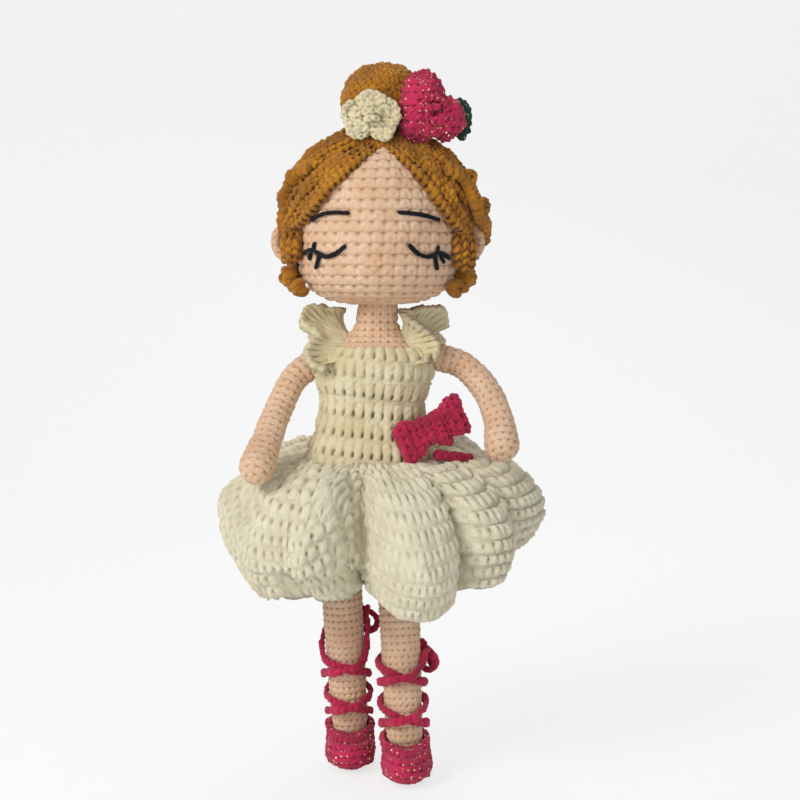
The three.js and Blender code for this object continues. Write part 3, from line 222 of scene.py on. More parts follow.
def outward(points, loop=False):
    """1 where normals() points out of the closed shell, otherwise -1, by the sign of the volume it encloses."""
    return np.sign(signed_volume(closed(points, loop), *faces(*points.shape[:2], loop)))


def shell(points, height=0.0, painted_shade=None, loop=False, uneven=0.06):
    """A closed shell, as (points, quads, triangles, painted shade): the rings pushed out along their normals
    by height, and a little unevenly."""
    out = outward(points, loop)
    push = height + uneven * (rough(points, 1.4) + 1.6 * rough(points, 6, 8))
    points = points + normals(points, loop) * out * push[..., None]
    painted_shade_values = np.zeros(points.shape[:2]) if painted_shade is None else np.broadcast_to(painted_shade, points.shape[:2])
    ends = [] if loop else [painted_shade_values[0].mean(), painted_shade_values[-1].mean()]
    quads, tris = faces(*points.shape[:2], loop)
    if out < 0:
        quads, tris = quads[:, ::-1], tris[:, ::-1]
    return closed(points, loop), quads, tris, np.concatenate([painted_shade_values.ravel(), ends])


def lined(outer, height, painted_shade, inner, **options):
    """A wall as a closed shell: a stitched outer face, and from its last ring back a plain inner face."""
    plain = np.zeros(inner.shape[:2])
    return shell(np.concatenate([outer, inner]), np.vstack([height, plain]), np.vstack([painted_shade, plain]), **options)


def signed_volume(flat, quads, tris):
    """Six times the volume that the faces enclose, positive where they point outwards."""
    every = np.vstack([quads[:, [0, 1, 2]], quads[:, [0, 2, 3]], tris])
    a, b, c = (flat[every[:, k]] for k in range(3))
    return np.einsum("ij,ij->", a, np.cross(b, c))


def piece(name, shells, made_of, body, *nodes):
    """One object of closed shells and a yarn, which rides on a body and stands for the CAD nodes."""
    points, quads, tris, painted_shade_values, count = [], [], [], [], 0
    for flat, quad, tri, painted_shade in shells:
        points.append(flat)
        painted_shade_values.append(painted_shade)
        quads.append(quad + count)
        tris.append(tri + count)
        count += len(flat)
    points, painted_shade_values = np.vstack(points) * MM, np.concatenate(painted_shade_values)
    quads, tris = np.vstack(quads), np.vstack(tris)
    loops = np.concatenate([quads.ravel(), tris.ravel()]).astype(np.int32)
    starts = np.concatenate([np.arange(len(quads)) * 4, len(quads) * 4 + np.arange(len(tris)) * 3])
    mesh = bpy.data.meshes.new(name)
    mesh.vertices.add(len(points))
    mesh.vertices.foreach_set("co", points.astype(np.float32).ravel())
    mesh.loops.add(len(loops))
    mesh.loops.foreach_set("vertex_index", loops)
    mesh.polygons.add(len(starts))
    mesh.polygons.foreach_set("loop_start", starts.astype(np.int32))
    mesh.update(calc_edges=True)
    mesh.polygons.foreach_set("use_smooth", np.ones(len(starts), bool))
    # each point's share of painted shade, which the yarn mixes into its colour
    mesh.attributes.new("painted_shade", "FLOAT", "POINT").data.foreach_set("value", painted_shade_values.astype(np.float32))
    mesh.validate()
    made = bpy.data.objects.new(name, mesh)
    bpy.context.scene.collection.objects.link(made)
    material, slot = made_of
    mesh.materials.append(material)
    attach(made, body)
    if nodes:
        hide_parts(*nodes)
    return made


# Curves and coordinates

def smooth(x, low, high):
    """0 below low, 1 above high and a smooth step between."""
    s = np.clip((np.asarray(x, float) - low) / (high - low), 0, 1)
    return s * s * (3 - 2 * s)


def bell(x, width):
    """exp(-(x / width) ** 2)"""
    return np.exp(-(np.asarray(x) / width) ** 2)


def lerp(a, b, share):
    return a + (b - a) * share


def unit(v):
    return v / np.maximum(np.linalg.norm(v, axis=-1, keepdims=True), 1e-9)


def turned(azimuth):
    """An azimuth as -180 to 180 degrees."""
    return (azimuth + 180) % 360 - 180


def compass(azimuth):
    """How far an azimuth points to the side and to the front."""
    return np.sin(np.radians(azimuth)), np.cos(np.radians(azimuth))


def facing(azimuth):
    """The level unit vector towards an azimuth."""
    side, front = compass(azimuth)
    return np.stack([side, -front, 0 * side], -1)


def travelled(points):
    """The distance along a line of points, or the mean distance along a grid of rings, from 0 at its start."""
    step = np.linalg.norm(np.diff(points, axis=0), axis=-1)
    return np.concatenate([[0], np.cumsum(step if step.ndim == 1 else step.mean(1))])


def girth_of(points):
    """The length round each ring of a grid."""
    return np.linalg.norm(np.roll(points, -1, 1) - points, axis=-1).sum(1)


def route(points, shares):
    """A centripetal Catmull-Rom curve through the points, at shares of the number of its spans."""
    p = np.asarray(points, float)
    p = np.vstack([2 * p[0] - p[1], p, 2 * p[-1] - p[-2]])
    spans = len(p) - 3
    at = np.clip(np.asarray(shares, float), 0, 1) * spans
    k = np.minimum(at.astype(int), spans - 1)
    w = (at - k)[:, None]
    p0, p1, p2, p3 = p[k], p[k + 1], p[k + 2], p[k + 3]
    d0, d1, d2 = (np.maximum(np.linalg.norm(b - a, axis=1, keepdims=True), 1e-6) ** 0.5
                  for a, b in ((p0, p1), (p1, p2), (p2, p3)))
    t1 = ((p1 - p0) / d0 - (p2 - p0) / (d0 + d1) + (p2 - p1) / d1) * d1
    t2 = ((p2 - p1) / d1 - (p3 - p1) / (d1 + d2) + (p3 - p2) / d2) * d1
    return p1 + t1 * w + (3 * (p2 - p1) - 2 * t1 - t2) * w ** 2 + (2 * (p1 - p2) + t1 + t2) * w ** 3


def evenly(surface, count, columns):
    """A surface(t, share) sampled in rings that are evenly spaced along it: (points, length along each ring,
    girth of each ring)."""
    t = np.linspace(0, 1, 600)
    length = travelled(surface(t, np.arange(12) / 12))
    even = np.linspace(0, length[-1], count)
    points = surface(np.interp(even, length, t), np.arange(columns) / columns)
    return points, even, girth_of(points)


# Stitches

def leaning(a, b, slope, level):
    """a moved by -slope (b - level), so that the stitch leans, and brought back to -0.5..0.5."""
    lean = a - slope * (b - level)
    return lean - np.round(lean)


def single(a, b):
    """Single crochet on a cell, a from -0.5 to 0.5 across and b from 0 to 1 up the row: a round ridge along the
    row, (1 - |2c - 1|^2.4)^0.6 with c = b + 0.11 cos(2 pi a), drawn in between the stitches, with a cleft under
    a lip at the top and a pit at each lower corner."""
    lean = leaning(a, b, 0.12, 0.5)
    c = np.clip(b + 0.11 * np.cos(TAU * lean) * np.sin(np.pi * b), 0, 1)
    ridge = np.clip(1 - np.abs(2 * c - 1) ** 2.4, 0, 1) ** 0.6
    between = np.abs(2 * lean) ** 3
    cleft = 0.22 * bell(lean, 0.12) * smooth(b, 0.3, 0.6) * smooth(b, 0.95, 0.8)
    pit = bell(np.abs(lean) - 0.5, 0.17) * bell(b - 0.1, 0.19)
    joint = bell(b, 0.07) + bell(b - 1, 0.07)
    height = ridge * (1 - 0.5 * between) - cleft - 0.55 * pit - 0.55
    # the second value is painted shade: in the pits, the cleft, the joints between rows and between the stitches
    return height, np.clip(0.75 * pit + 0.45 * cleft + 0.22 * joint + 0.25 * between * (1 - ridge), 0, 1)


def double(a, b):
    """Double crochet on a cell: a round post, (1 - |2l|^2.4)^0.7 with l = a - 0.14 (b - 0.3), under a bumpy
    chain along the top of the row, with a narrow slit beside its foot and the wrap of the yarn across it."""
    lean = leaning(a, b, 0.14, 0.3)
    swell = 0.62 + 0.3 * np.sin(np.pi * np.clip(b / 0.8, 0, 1)) ** 0.8
    post = np.clip(1 - np.abs(2 * lean) ** 2.4, 0, 1) ** 0.7 * swell
    chain = (0.68 + 0.14 * np.cos(TAU * (a - b))) * bell(b - 0.88, 0.12)
    slit = bell(np.abs(lean) - 0.5, 0.11) * smooth(b, 0.0, 0.1) * smooth(b, 0.36, 0.22)
    wrap = 0.14 * bell(b - 0.45 - 0.5 * lean, 0.07) * (1 - np.abs(2 * lean))
    seam = 0.16 * (bell(b, 0.05) + bell(b - 1, 0.04))
    height = np.maximum(post * smooth(b, 0.9, 0.74), chain) - 0.9 * slit - wrap - seam - 0.4
    # the second value is painted shade: in the slits, along the seams and beside the posts
    return height, np.clip(slit + 0.5 * seam + 0.25 * (1 - np.clip(1.6 * post, 0, 1)), 0, 1)


def oval(a, b):
    """Loose double crochet on a cell, b down the row: an oval post, sqrt((1 - |2l|^2.2) (1 - |2c - 1|^2.6)) with
    l = a - 0.22 (b - 0.5) and c = b / 0.86, a slit beside its upper half, and a low chain of bumps below it."""
    lean = leaning(a, b, 0.22, 0.5)
    c = np.clip(b / 0.86, 0, 1)
    post = np.sqrt(np.clip(1 - np.abs(2 * lean) ** 2.2, 0, 1) * np.clip(1 - np.abs(2 * c - 1) ** 2.6, 0, 1))
    chain = (0.5 + 0.12 * np.cos(TAU * (2 * a + 0.25))) * bell(b - 0.94, 0.07)
    slit = bell(np.abs(lean) - 0.5, 0.1) * smooth(b, 0.08, 0.2) * smooth(b, 0.5, 0.34)
    wrap = 0.1 * bell(b - 0.45 - 0.6 * lean, 0.06)
    height = np.maximum(post, chain) - 0.7 * slit - wrap - 0.45
    # the second value is painted shade: in the slits and where neither post nor chain stands
    return height, np.clip(0.85 * slit + 0.22 * (1 - np.maximum(post, 1.6 * chain)), 0, 1)


def braid(a, b):
    """A braided cell: two lobes that meet in a V, |sin(pi (b - 0.55 |2a|))|^0.6, either side of a groove."""
    lobe = np.abs(np.sin(np.pi * (b - 0.55 * np.abs(2 * a)))) ** 0.6
    groove = bell(a, 0.09) + bell(np.abs(a) - 0.5, 0.1)
    # the second value is painted shade: between the lobes and in the grooves
    return lobe - 0.7 * groove - 0.5, np.clip((0.55 - lobe) * 1.2 + 0.5 * groove, 0, 1)


def stitched(points, length, girth, row, width, depth, kind=single, drift=0.07, seed=1, offset=0.0, loose=0.12,
             tilt=0.0):
    """(height, painted shade) over a grid of rings: rows of stitches, as many in each row as its girth holds, each
    with a chance shift and height; tilt moves the rows by so many millimetres."""
    v = (length[:, None] + np.broadcast_to(tilt, points.shape[1])[None, :]) / row + offset
    k = np.floor(v + 1e-9).astype(int)
    rows = np.arange(k.min(), k.max() + 1)
    order = np.argsort(length)
    mean = np.interp((rows + 0.5 - offset) * row, length[order], girth[order])
    count = np.maximum(np.round(mean / width), 4).astype(int)
    k = k - k.min()
    share = np.arange(points.shape[1]) / points.shape[1]
    u = share[None, :] * count[k] + drift * k + 0.5
    chance = np.random.default_rng(seed).random((3, len(rows), count.max() + 2)) - 0.5
    which = np.floor(u).astype(int) % count[k]
    high, aside, along = chance[:, k, which]
    a, b = (u % 1) - 0.5, v % 1
    height, painted_shade = kind(a + 1.4 * loose * aside * (1 - np.abs(2 * a)), b + 3.2 * loose * along * b * (1 - b))
    return depth * (height * (1 + 2 * loose * high) + loose * high), painted_shade


def knitted(surface, row, width, depth, kind=single, samples=8, across=8, uneven=0.06, **options):
    """A stitched closed shell over surface(t, share), with so many samples up each row and across each stitch."""
    whole = travelled(surface(np.linspace(0, 1, 300), np.arange(8) / 8))[-1]
    rings = int(round(whole / row)) * samples + 1
    columns = int(np.ceil(evenly(surface, rings, 24)[2].max() / width)) * across
    points, length, girth = evenly(surface, rings, columns)
    height, painted_shade = stitched(points, length, girth, row, width, depth, kind, **options)
    ends = smooth(np.minimum(length, length[-1] - length), 0, row * 0.5)[:, None]
    return shell(points, height * ends, painted_shade * ends, uneven=uneven)


# Head

def head_point(azimuth, polar, grow):
    """The head grown outwards: a superellipsoid, sin(polar)^(2/p) across and cos(polar)^(2/p) up, with p 2.3
    above its widest level and 3.2 below."""
    azimuth, polar, grow = np.broadcast_arrays(*(np.asarray(x, float) for x in (azimuth, polar, grow)))
    upper = polar <= 90
    power = np.where(upper, 2.3, 3.2)
    tall = np.where(upper, CROWN + grow, -(CHIN + grow))
    ring = np.clip(np.sin(np.radians(polar)), 0, 1) ** (2 / power)
    rise = np.abs(np.cos(np.radians(polar))) ** (2 / power)
    side, front = compass(azimuth)
    return np.stack([(HEAD_HALF_WIDTH + grow) * ring * side, -(HEAD_HALF_DEPTH + grow) * ring * front,
                     HEAD_LEVEL + tall * rise], -1)


def head_surface(t, share):
    """The head with its small nose, one broad stitch that stands out."""
    azimuth, polar = share[None, :] * 360, t[:, None] * 180
    nose = 0.55 * bell(turned(azimuth) + 2, 5.5) * bell(polar - 105.3, 2.6)
    return head_point(azimuth, polar, nose - 0.15)


head = piece("head_crochet", [knitted(head_surface, *GAUGE["head"], samples=12, across=9, seed=3, loose=0.16)],
             SKIN, "head", "head", "head_stuffing")


# Torso and limbs

PROFILE = np.array([  # level, half width and depth share
    (-0.03, HIPS * 0.42, DEPTH_SHARE), (0.03, HIPS * 0.78, DEPTH_SHARE), (0.13, HIPS * 0.97, DEPTH_SHARE),
    (0.27, HIPS, DEPTH_SHARE), (0.42, WAIST * 1.07, DEPTH_SHARE), (0.54, WAIST, DEPTH_SHARE),
    (0.67, CHEST, DEPTH_SHARE), (0.76, CHEST, DEPTH_SHARE), (0.82, CHEST * 0.76, DEPTH_SHARE),
    (0.87, NECK * 1.5, 1.0), (0.92, NECK * 1.05, 1.0), (1.0, NECK, 1.0)])


def torso_point(height, azimuth, grow):
    """A flattened round section, |x/w|^2.3 + |y/d|^2.3 = 1, at each height of the profile."""
    height, azimuth, grow = np.broadcast_arrays(*(np.asarray(x, float) for x in (height, azimuth, grow)))
    level = (height - HIP_HEIGHT) / TORSO_HEIGHT
    wide = np.interp(level, PROFILE[:, 0], PROFILE[:, 1])
    deep = wide * np.interp(level, PROFILE[:, 0], PROFILE[:, 2]) + grow
    wide = wide + grow
    side, front = compass(azimuth)
    reach = (np.abs(side / wide) ** 2.3 + np.abs(front / deep) ** 2.3) ** (-1 / 2.3)
    lean = HIP_CENTRE_X * np.clip(1 - level, 0, 1)
    return np.stack([lean + reach * side, -reach * front, height], -1)


def torso_surface(t, share):
    """The torso from below the hips to just inside the head, a little wider at the neck."""
    height = lerp(HIP_HEIGHT - 2, NECK_TOP + 0.8, t)[:, None]
    return torso_point(height, share[None, :] * 360, -0.2 + 0.9 * smooth(height, NECK_TOP - 9, NECK_TOP - 4))


torso = piece("torso_crochet", [knitted(torso_surface, *GAUGE["torso"], seed=5)],
              SKIN, "trunk", "torso", "torso_stuffing")


def radius_at(radii, share):
    """The radius at shares of the way along evenly spaced radii."""
    return np.interp(share * (len(radii) - 1), np.arange(len(radii)), radii)


def tube(centres, radii, grow):
    """surface(t, share) of a limb: round rings on a smooth centreline with a half ball at each end."""
    near, far = radii[0] + grow, radii[-1] + grow
    span = travelled(route(centres, np.linspace(0, 1, 200)))[-1]

    def surface(t, share):
        at = t * (near + span + far)
        along = np.clip((at - near) / span, 0, 1)
        ahead = unit(route(centres, np.clip(along + 1e-3, 0, 1)) - route(centres, np.clip(along - 1e-3, 0, 1)))
        radius = radius_at(radii, along) + grow
        before = np.clip((near - at) / near, 0, 1) * np.pi / 2
        after = np.clip((at - near - span) / far, 0, 1) * np.pi / 2
        centre = route(centres, along) + ahead * (far * np.sin(after) - near * np.sin(before))[:, None]
        radius = np.maximum(radius * np.cos(before + after), 1e-4)
        aside = unit(np.cross([0.0, -1.0, 0.0], ahead))
        front = np.cross(ahead, aside)
        turn = (share * TAU)[None, :, None]
        ring = np.sin(turn) * aside[:, None, :] - np.cos(turn) * front[:, None, :]
        return centre[:, None, :] + ring * radius[:, None, None]
    return surface


ARM_SHARES = {  # each arm's centreline as shares of its length: sideways, forward and up
    "left": [(0, 0, 0), (0.155, -0.06, -0.126), (0.264, -0.19, -0.34), (0.345, -0.39, -0.56),
             (0.405, -0.6, -0.745)],
    "right": [(0, 0, 0.03), (0.17, -0.03, -0.03), (0.34, -0.12, -0.205), (0.43, -0.27, -0.42), (0.45, -0.4, -0.6)],
}
STANCE = {"left": (-9.6, 4, -9.4, -0.8), "right": (8.6, -11.5, 9.3, -16.3)}  # ankle x and y, foot x and y
HEEL = 5.4  # how far the leg meets the foot behind its middle


def leg_centres(name):
    """A leg's centreline from the hip to the middle of the heel."""
    ankle_x, ankle_y, foot_x, foot_y = STANCE[name]
    top = np.array([HIP_CENTRE_X + SIDES[name] * HIP_SPREAD / 2, 0, HIP_HEIGHT])
    ankle = np.array([ankle_x, ankle_y, ANKLE_HEIGHT])
    heel = np.array([foot_x, foot_y + HEEL, FOOT_LEVEL])
    return np.array([top, lerp(top, ankle, 0.33), lerp(top, ankle, 0.67), ankle, heel])


def egg(centre, halves, dent=None):
    """surface(t, share) of an ellipsoid, whose pole is up, with an optional dent(direction) in millimetres."""
    def surface(t, share):
        polar, turn = t[:, None] * np.pi, share[None, :] * TAU
        way = np.stack(np.broadcast_arrays(np.sin(polar) * np.sin(turn), -np.sin(polar) * np.cos(turn),
                                           np.cos(polar) + 0 * turn), -1)
        points = np.asarray(centre, float) + way * np.asarray(halves, float)
        return points if dent is None else points + dent(way)
    return surface


for name, side in SIDES.items():
    shoulder = np.array([side * SHOULDER_X, 0, SHOULDER_HEIGHT])
    centres = [shoulder + ARM_LENGTH * np.array([side * x, y, z]) for x, y, z in ARM_SHARES[name]]
    radii = [*(ARM_RADIUS * swell for swell in (1.02, 1, 1.02, 1.08)), HAND_RADIUS]
    made = piece(f"{name}_arm_crochet", [knitted(tube(centres, radii, -0.1), *GAUGE["arm"], seed=7 + side)],
                 SKIN, f"{name}_arm", f"{name}_arm", f"{name}_arm_stuffing")
    _, _, foot_x, foot_y = STANCE[name]
    foot = egg((foot_x, foot_y, FOOT_LEVEL), FOOT - 0.1)
    hip = egg(leg_centres(name)[0], (7, 7, 7))
    made = piece(f"{name}_leg_crochet",
                 [knitted(tube(leg_centres(name), LEG_RADII, -0.1), *GAUGE["leg"], seed=9 + side),
                  knitted(foot, *GAUGE["foot"]), knitted(hip, *GAUGE["hip"], samples=4, across=4)],
                 SKIN, f"{name}_leg", f"{name}_leg", f"{name}_leg_stuffing")


# Dress

def bodice_piece():
    """The bodice: double crochet rows round the torso, from the waist seam to the neckline."""
    row, width, depth = GAUGE["bodice"]
    samples, columns = 14, 36 * 8
    high = np.linspace(NECKLINE, SEAM - 1, int((NECKLINE - SEAM) / row * samples))
    share = np.arange(columns) / columns
    outer = torso_point(high[:, None], share * 360, CLEARANCE + BODICE_WALL - 0.35)
    inner = torso_point(high[::6, None], share * 360, CLEARANCE)
    length = NECKLINE - high
    height, painted_shade = stitched(outer, length[-1] - length, girth_of(outer), row, width, depth, double, seed=11,
                              offset=0.2, loose=0.24, tilt=1.5 * np.sin(share * TAU))
    # less painted shade higher up: a quarter of it near the neckline
    painted_shade = painted_shade * lerp(1, 0.25, smooth(high, SEAM + 26, NECKLINE - 8))[:, None]
    return lined(outer, height, painted_shade, inner[::-1], loop=True, uneven=0.11)


bodice = piece("bodice_crochet", [bodice_piece()], CREAM, "trunk", "bodice")


FOLDS = np.array([  # azimuth of the crease, reach, hem, lift, notch, crease share, skew, roundness from and to
    (-16, 48.5, 56.5, -2, 6, 0.4, 1.6, 1.8, 0.45), (38, 50.5, 66, 0, 5, 0.3, 1, 0.6, 0.6),
    (66, 53.2, 76, 3, 3, 0.24, 1, 0.6, 0.7), (118, 49, 66, 12, 3, 0.2, 1, 0.7, 0.7),
    (160, 46, 60, 12, 3, 0.2, 1, 0.7, 0.7), (205, 47, 64, 11, 3, 0.2, 1, 0.7, 0.7),
    (248, 53, 73, 5, 3, 0.14, 1, 0.6, 0.6), (286, 50, 62, -1, 0, 0, 1, 0.6, 0.6),
    (324, 46.5, 62, -1, 1, 0.1, 0.9, 0.7, 0.6)])
CURL = np.radians(124)  # how far the cloth turns in from the waist to the hem


def fold_at(azimuth):
    """reach, hem, lift, crease and swell at each azimuth: every fold swells as sin(pi x^skew)^roundness between
    its creases and passes smoothly into its neighbours."""
    azimuth = (azimuth - FOLDS[0, 0]) % 360 + FOLDS[0, 0]
    index = np.searchsorted(FOLDS[:, 0], azimuth, "right") - 1
    count = len(FOLDS)
    here, after, before = FOLDS[index], FOLDS[(index + 1) % count], FOLDS[(index - 1) % count]
    end = np.where(index < count - 1, after[:, 0], FOLDS[0, 0] + 360)
    along = (azimuth - here[:, 0]) / (end - here[:, 0])
    neighbour = np.where((along < 0.5)[:, None], before, after)
    mixed = lerp((here + neighbour) / 2, here, np.sin(np.pi * along)[:, None])
    passed = lerp(here, after, smooth(along, 0, 1)[:, None])
    swell = np.sin(np.pi * along ** here[:, 6]) ** lerp(here[:, 7], here[:, 8], smooth(along, 0, 1))
    hem = mixed[:, 2] + passed[:, 4] * (1 - swell) ** 1.5
    return mixed[:, 1], hem, mixed[:, 3], passed[:, 5], swell


def sway(turn, down):
    """How far the cloth stands out beyond its folds: a ridge that runs down to the left, a steep valley beside
    it that is filled again lower down, the tucked hem under the ridge, the creases beside the rolls, and the
    left side, which hangs closer to the legs."""
    across = turn - lerp(-18, -30, down)
    ridge = 2.4 * bell(across + 2, 5.5) * smooth(down, 0.08, 0.3)
    valley = -9.5 * bell(across - 15, 10) * smooth(down, 0.04, 0.26) * smooth(down, 1.05, 0.6)
    valley = valley + 8 * bell(turn + 16, 5.5) * smooth(down, 0.2, 0.5) * smooth(down, 1.0, 0.8)
    tuck = -6 * smooth(down, 0.8, 0.84) * smooth(turn, -47, -38) * smooth(turn, -6, -16)
    creases = -(3 * bell(turn - 38, 3.5) + 2 * bell(turn - 66, 4)) * smooth(down, 0.08, 0.25)
    hanging = -bell(turn + 92, 34) * (5 * bell(down - 0.46, 0.19) + smooth(down, 0.3, 0.6))
    return ridge + valley + tuck + creases + hanging


def skirt_point(azimuth, down, offset):
    """The skirt from the waist (down 0) to the hem (down 1), offset along its normal in millimetres: the reach
    follows sin(124 deg x down), so that the hem curls in, and the height 1 - cos(124 deg x down)."""
    reach, hem, lift, crease, swell = fold_at(azimuth)
    waist = HIP_HEIGHT + WAIST_RISE
    start = torso_point(waist, azimuth, CLEARANCE * 2 + BODICE_WALL)
    lean = HIP_CENTRE_X * (1 - WAIST_RISE / TORSO_HEIGHT)
    start = np.hypot(start[:, 0] - lean, start[:, 1])

    def profile(share):
        share = share[:, None]
        far = reach * (1 - crease * share ** 0.7 * (1 - swell))
        drop = lerp((1 - np.cos(share * CURL)) / (1 - np.cos(CURL)), share, 0.05)
        return lerp(start, far, np.sin(share * CURL)), waist - (waist - hem) * drop + lift * np.sin(np.pi * share)

    out, height = profile(down)
    out2, height2 = profile(down + 0.02)
    out = out + sway(turned(azimuth), down[:, None])
    normal = unit(np.stack([height - height2, out2 - out], -1))
    offset = offset[:, None]
    out = out + normal[..., 0] * offset * smooth(down, 0, 0.1)[:, None]
    centre = lerp(lean, 1.2, down)[:, None]
    side, front = compass(azimuth)
    return np.stack([centre + out * side, -out * front, height + normal[..., 1] * offset], -1)


def skirt_piece():
    """The skirt: rows of double crochet worked down from the waist, more stitches in each row, over an outer
    face, a rounded hem and an inner face. The rows slant across the front, run as level lines round the rolls
    on the right, and lie flatter on the broad middle fold."""
    columns, samples, wall = 800, 9, 0.65
    row, width, depth = GAUGE["skirt"]
    azimuth = np.arange(columns) / columns * 360
    fine = np.linspace(0, 1, 400)
    length = travelled(skirt_point(azimuth[::10], fine, np.full(400, 0.7)))
    rows = int(round(length[-1] / row))
    row = length[-1] / rows
    at, back = (np.linspace(0, length[-1], rows * count + 1) for count in (samples, 2))
    outer = skirt_point(azimuth, np.interp(at, length, fine), np.full(len(at), wall))
    inner = skirt_point(azimuth, np.interp(back, length, fine), np.full(len(back), -wall))
    girth = girth_of(outer)
    turn = turned(azimuth)
    tilt = -17 * smooth(turn, -108, -38) * smooth(turn, -2, -34)
    height, painted_shade = stitched(outer, at, girth, row, width, depth, oval, seed=13, drift=0.4, loose=0.24, tilt=tilt)
    rolls = smooth(turn, 36, 42) * smooth(turn, 130, 110)
    lines = (bell((at / row) % 1, 0.05) + bell((at / row) % 1 - 1, 0.05))[:, None] * rolls
    # the lines between rows on the rolls are sunk and painted with shade
    height, painted_shade = np.maximum(height - 0.2 * lines, -1.1), np.clip(painted_shade + 0.25 * lines, 0, 1)
    flat = smooth(turn, -14, 4) * smooth(turn, 38, 30) * smooth(at, 0, 20)[:, None]
    # the broad middle fold is flatter and has less painted shade
    height, painted_shade = height * (1 - 0.35 * flat), painted_shade * (1 - 0.55 * flat)
    outer = outer + unit(outer - outer.mean((0, 1))) * 0.5 * rough(outer, 17, 3)[..., None]
    girth = girth[np.linspace(0, len(girth) - 1, len(back)).astype(int)]
    _, width, depth = GAUGE["skirt inside"]
    low, painted_shade_values = stitched(inner, back, girth, row, width, depth, oval, seed=17, drift=0.4, tilt=tilt)
    return shell(np.concatenate([outer, inner[::-1]]), np.vstack([height, low[::-1]]),
                 np.vstack([painted_shade, painted_shade_values[::-1]]), loop=True, uneven=0.13)


skirt = piece("skirt_crochet", [skirt_piece()], MILK, "trunk", "skirt")


RUFFLES = {  # the outer edge of each frill from the front end over the shoulder to the back end
    "left": [(-13, -10.5, 133.8), (-17, -14.6, 132), (-21.6, -14.2, 134), (-22.8, -12.4, 138.8),
             (-19.6, -9, 142.8), (-24.6, -5, 146.5), (-24.2, -1, 150.2), (-20.5, 1.5, 152), (-15.5, 0.5, 151.2),
             (-12, 3.5, 150.4), (-15, 7.5, 150), (-21, 10, 147), (-22.5, 12, 142), (-17, 13, 137.5),
             (-13, 10, 134)],
    "right": [(10.5, -9.5, 134), (14.5, -12.5, 134.2), (18.8, -11.5, 136.5), (19.3, -9.5, 140.3), (16, -9, 143.8),
              (11.5, -8, 147.2), (8, -5, 149.8), (10.5, -1, 150.6), (16, 1.5, 151.4), (21.5, 2, 151),
              (22.5, 5, 146.5), (19, 9, 144), (21.5, 12, 140), (16, 12.5, 136), (11.5, 10, 134)],
}


def ruffle_piece(name):
    """A shoulder frill: a strip from an arc round the shoulder to its waved outer edge, with radial posts and a
    thick chain along the edge."""
    side = SIDES[name]
    rows, samples = 260, 15
    inset, arc, post, pairs = 1, 8.2, 2.3, 1.5
    along = np.linspace(0, 1, rows)
    turn = np.radians(lerp(-95, 95, along))
    near = np.stack([-inset + side * 8.6 + 0 * turn, arc * np.sin(turn), SHOULDER_HEIGHT + arc * np.cos(turn)], -1)
    far = route(RUFFLES[name], along)
    out = np.concatenate([np.linspace(0, 1, samples), np.linspace(1, 0, samples)])
    face = np.repeat([0.5, -0.5], samples)
    normal = unit(np.cross(np.gradient(lerp(near, far, 0.75), axis=0), far - near))[:, None, :]
    thick = 1.5 + 1.9 * bell(out - 1, 0.1)
    lift = face * thick + 1.1 * np.sin(np.pi * out) * side
    points = lerp(near[:, None], far[:, None], out[None, :, None]) + normal * lift[None, :, None]
    u, v = np.broadcast_arrays((travelled(lerp(near, far, 0.85)) / post)[:, None], out * pairs)
    height, painted_shade = double((u % 1) - 0.5, v % 1)
    ends = smooth(np.minimum(along, 1 - along), 0, 0.08)[:, None]
    return shell(points, 0.42 * height * ends, painted_shade * 0.6 * ends, uneven=0.14 * ends)


for name in SIDES:
    made = piece(f"{name}_ruffle_crochet", [ruffle_piece(name)], CREAM, "trunk", f"{name}_ruffle")


# Braided strands

# the links' lean, the groove's width, the lobes' relief, and the painted shade in the groove and at the sides
CORD = (0.45, 0.24, 1.3, 0.35, 0.0)
LOCK = (0.5, 0.2, 1.4, 0.42, 0.9)


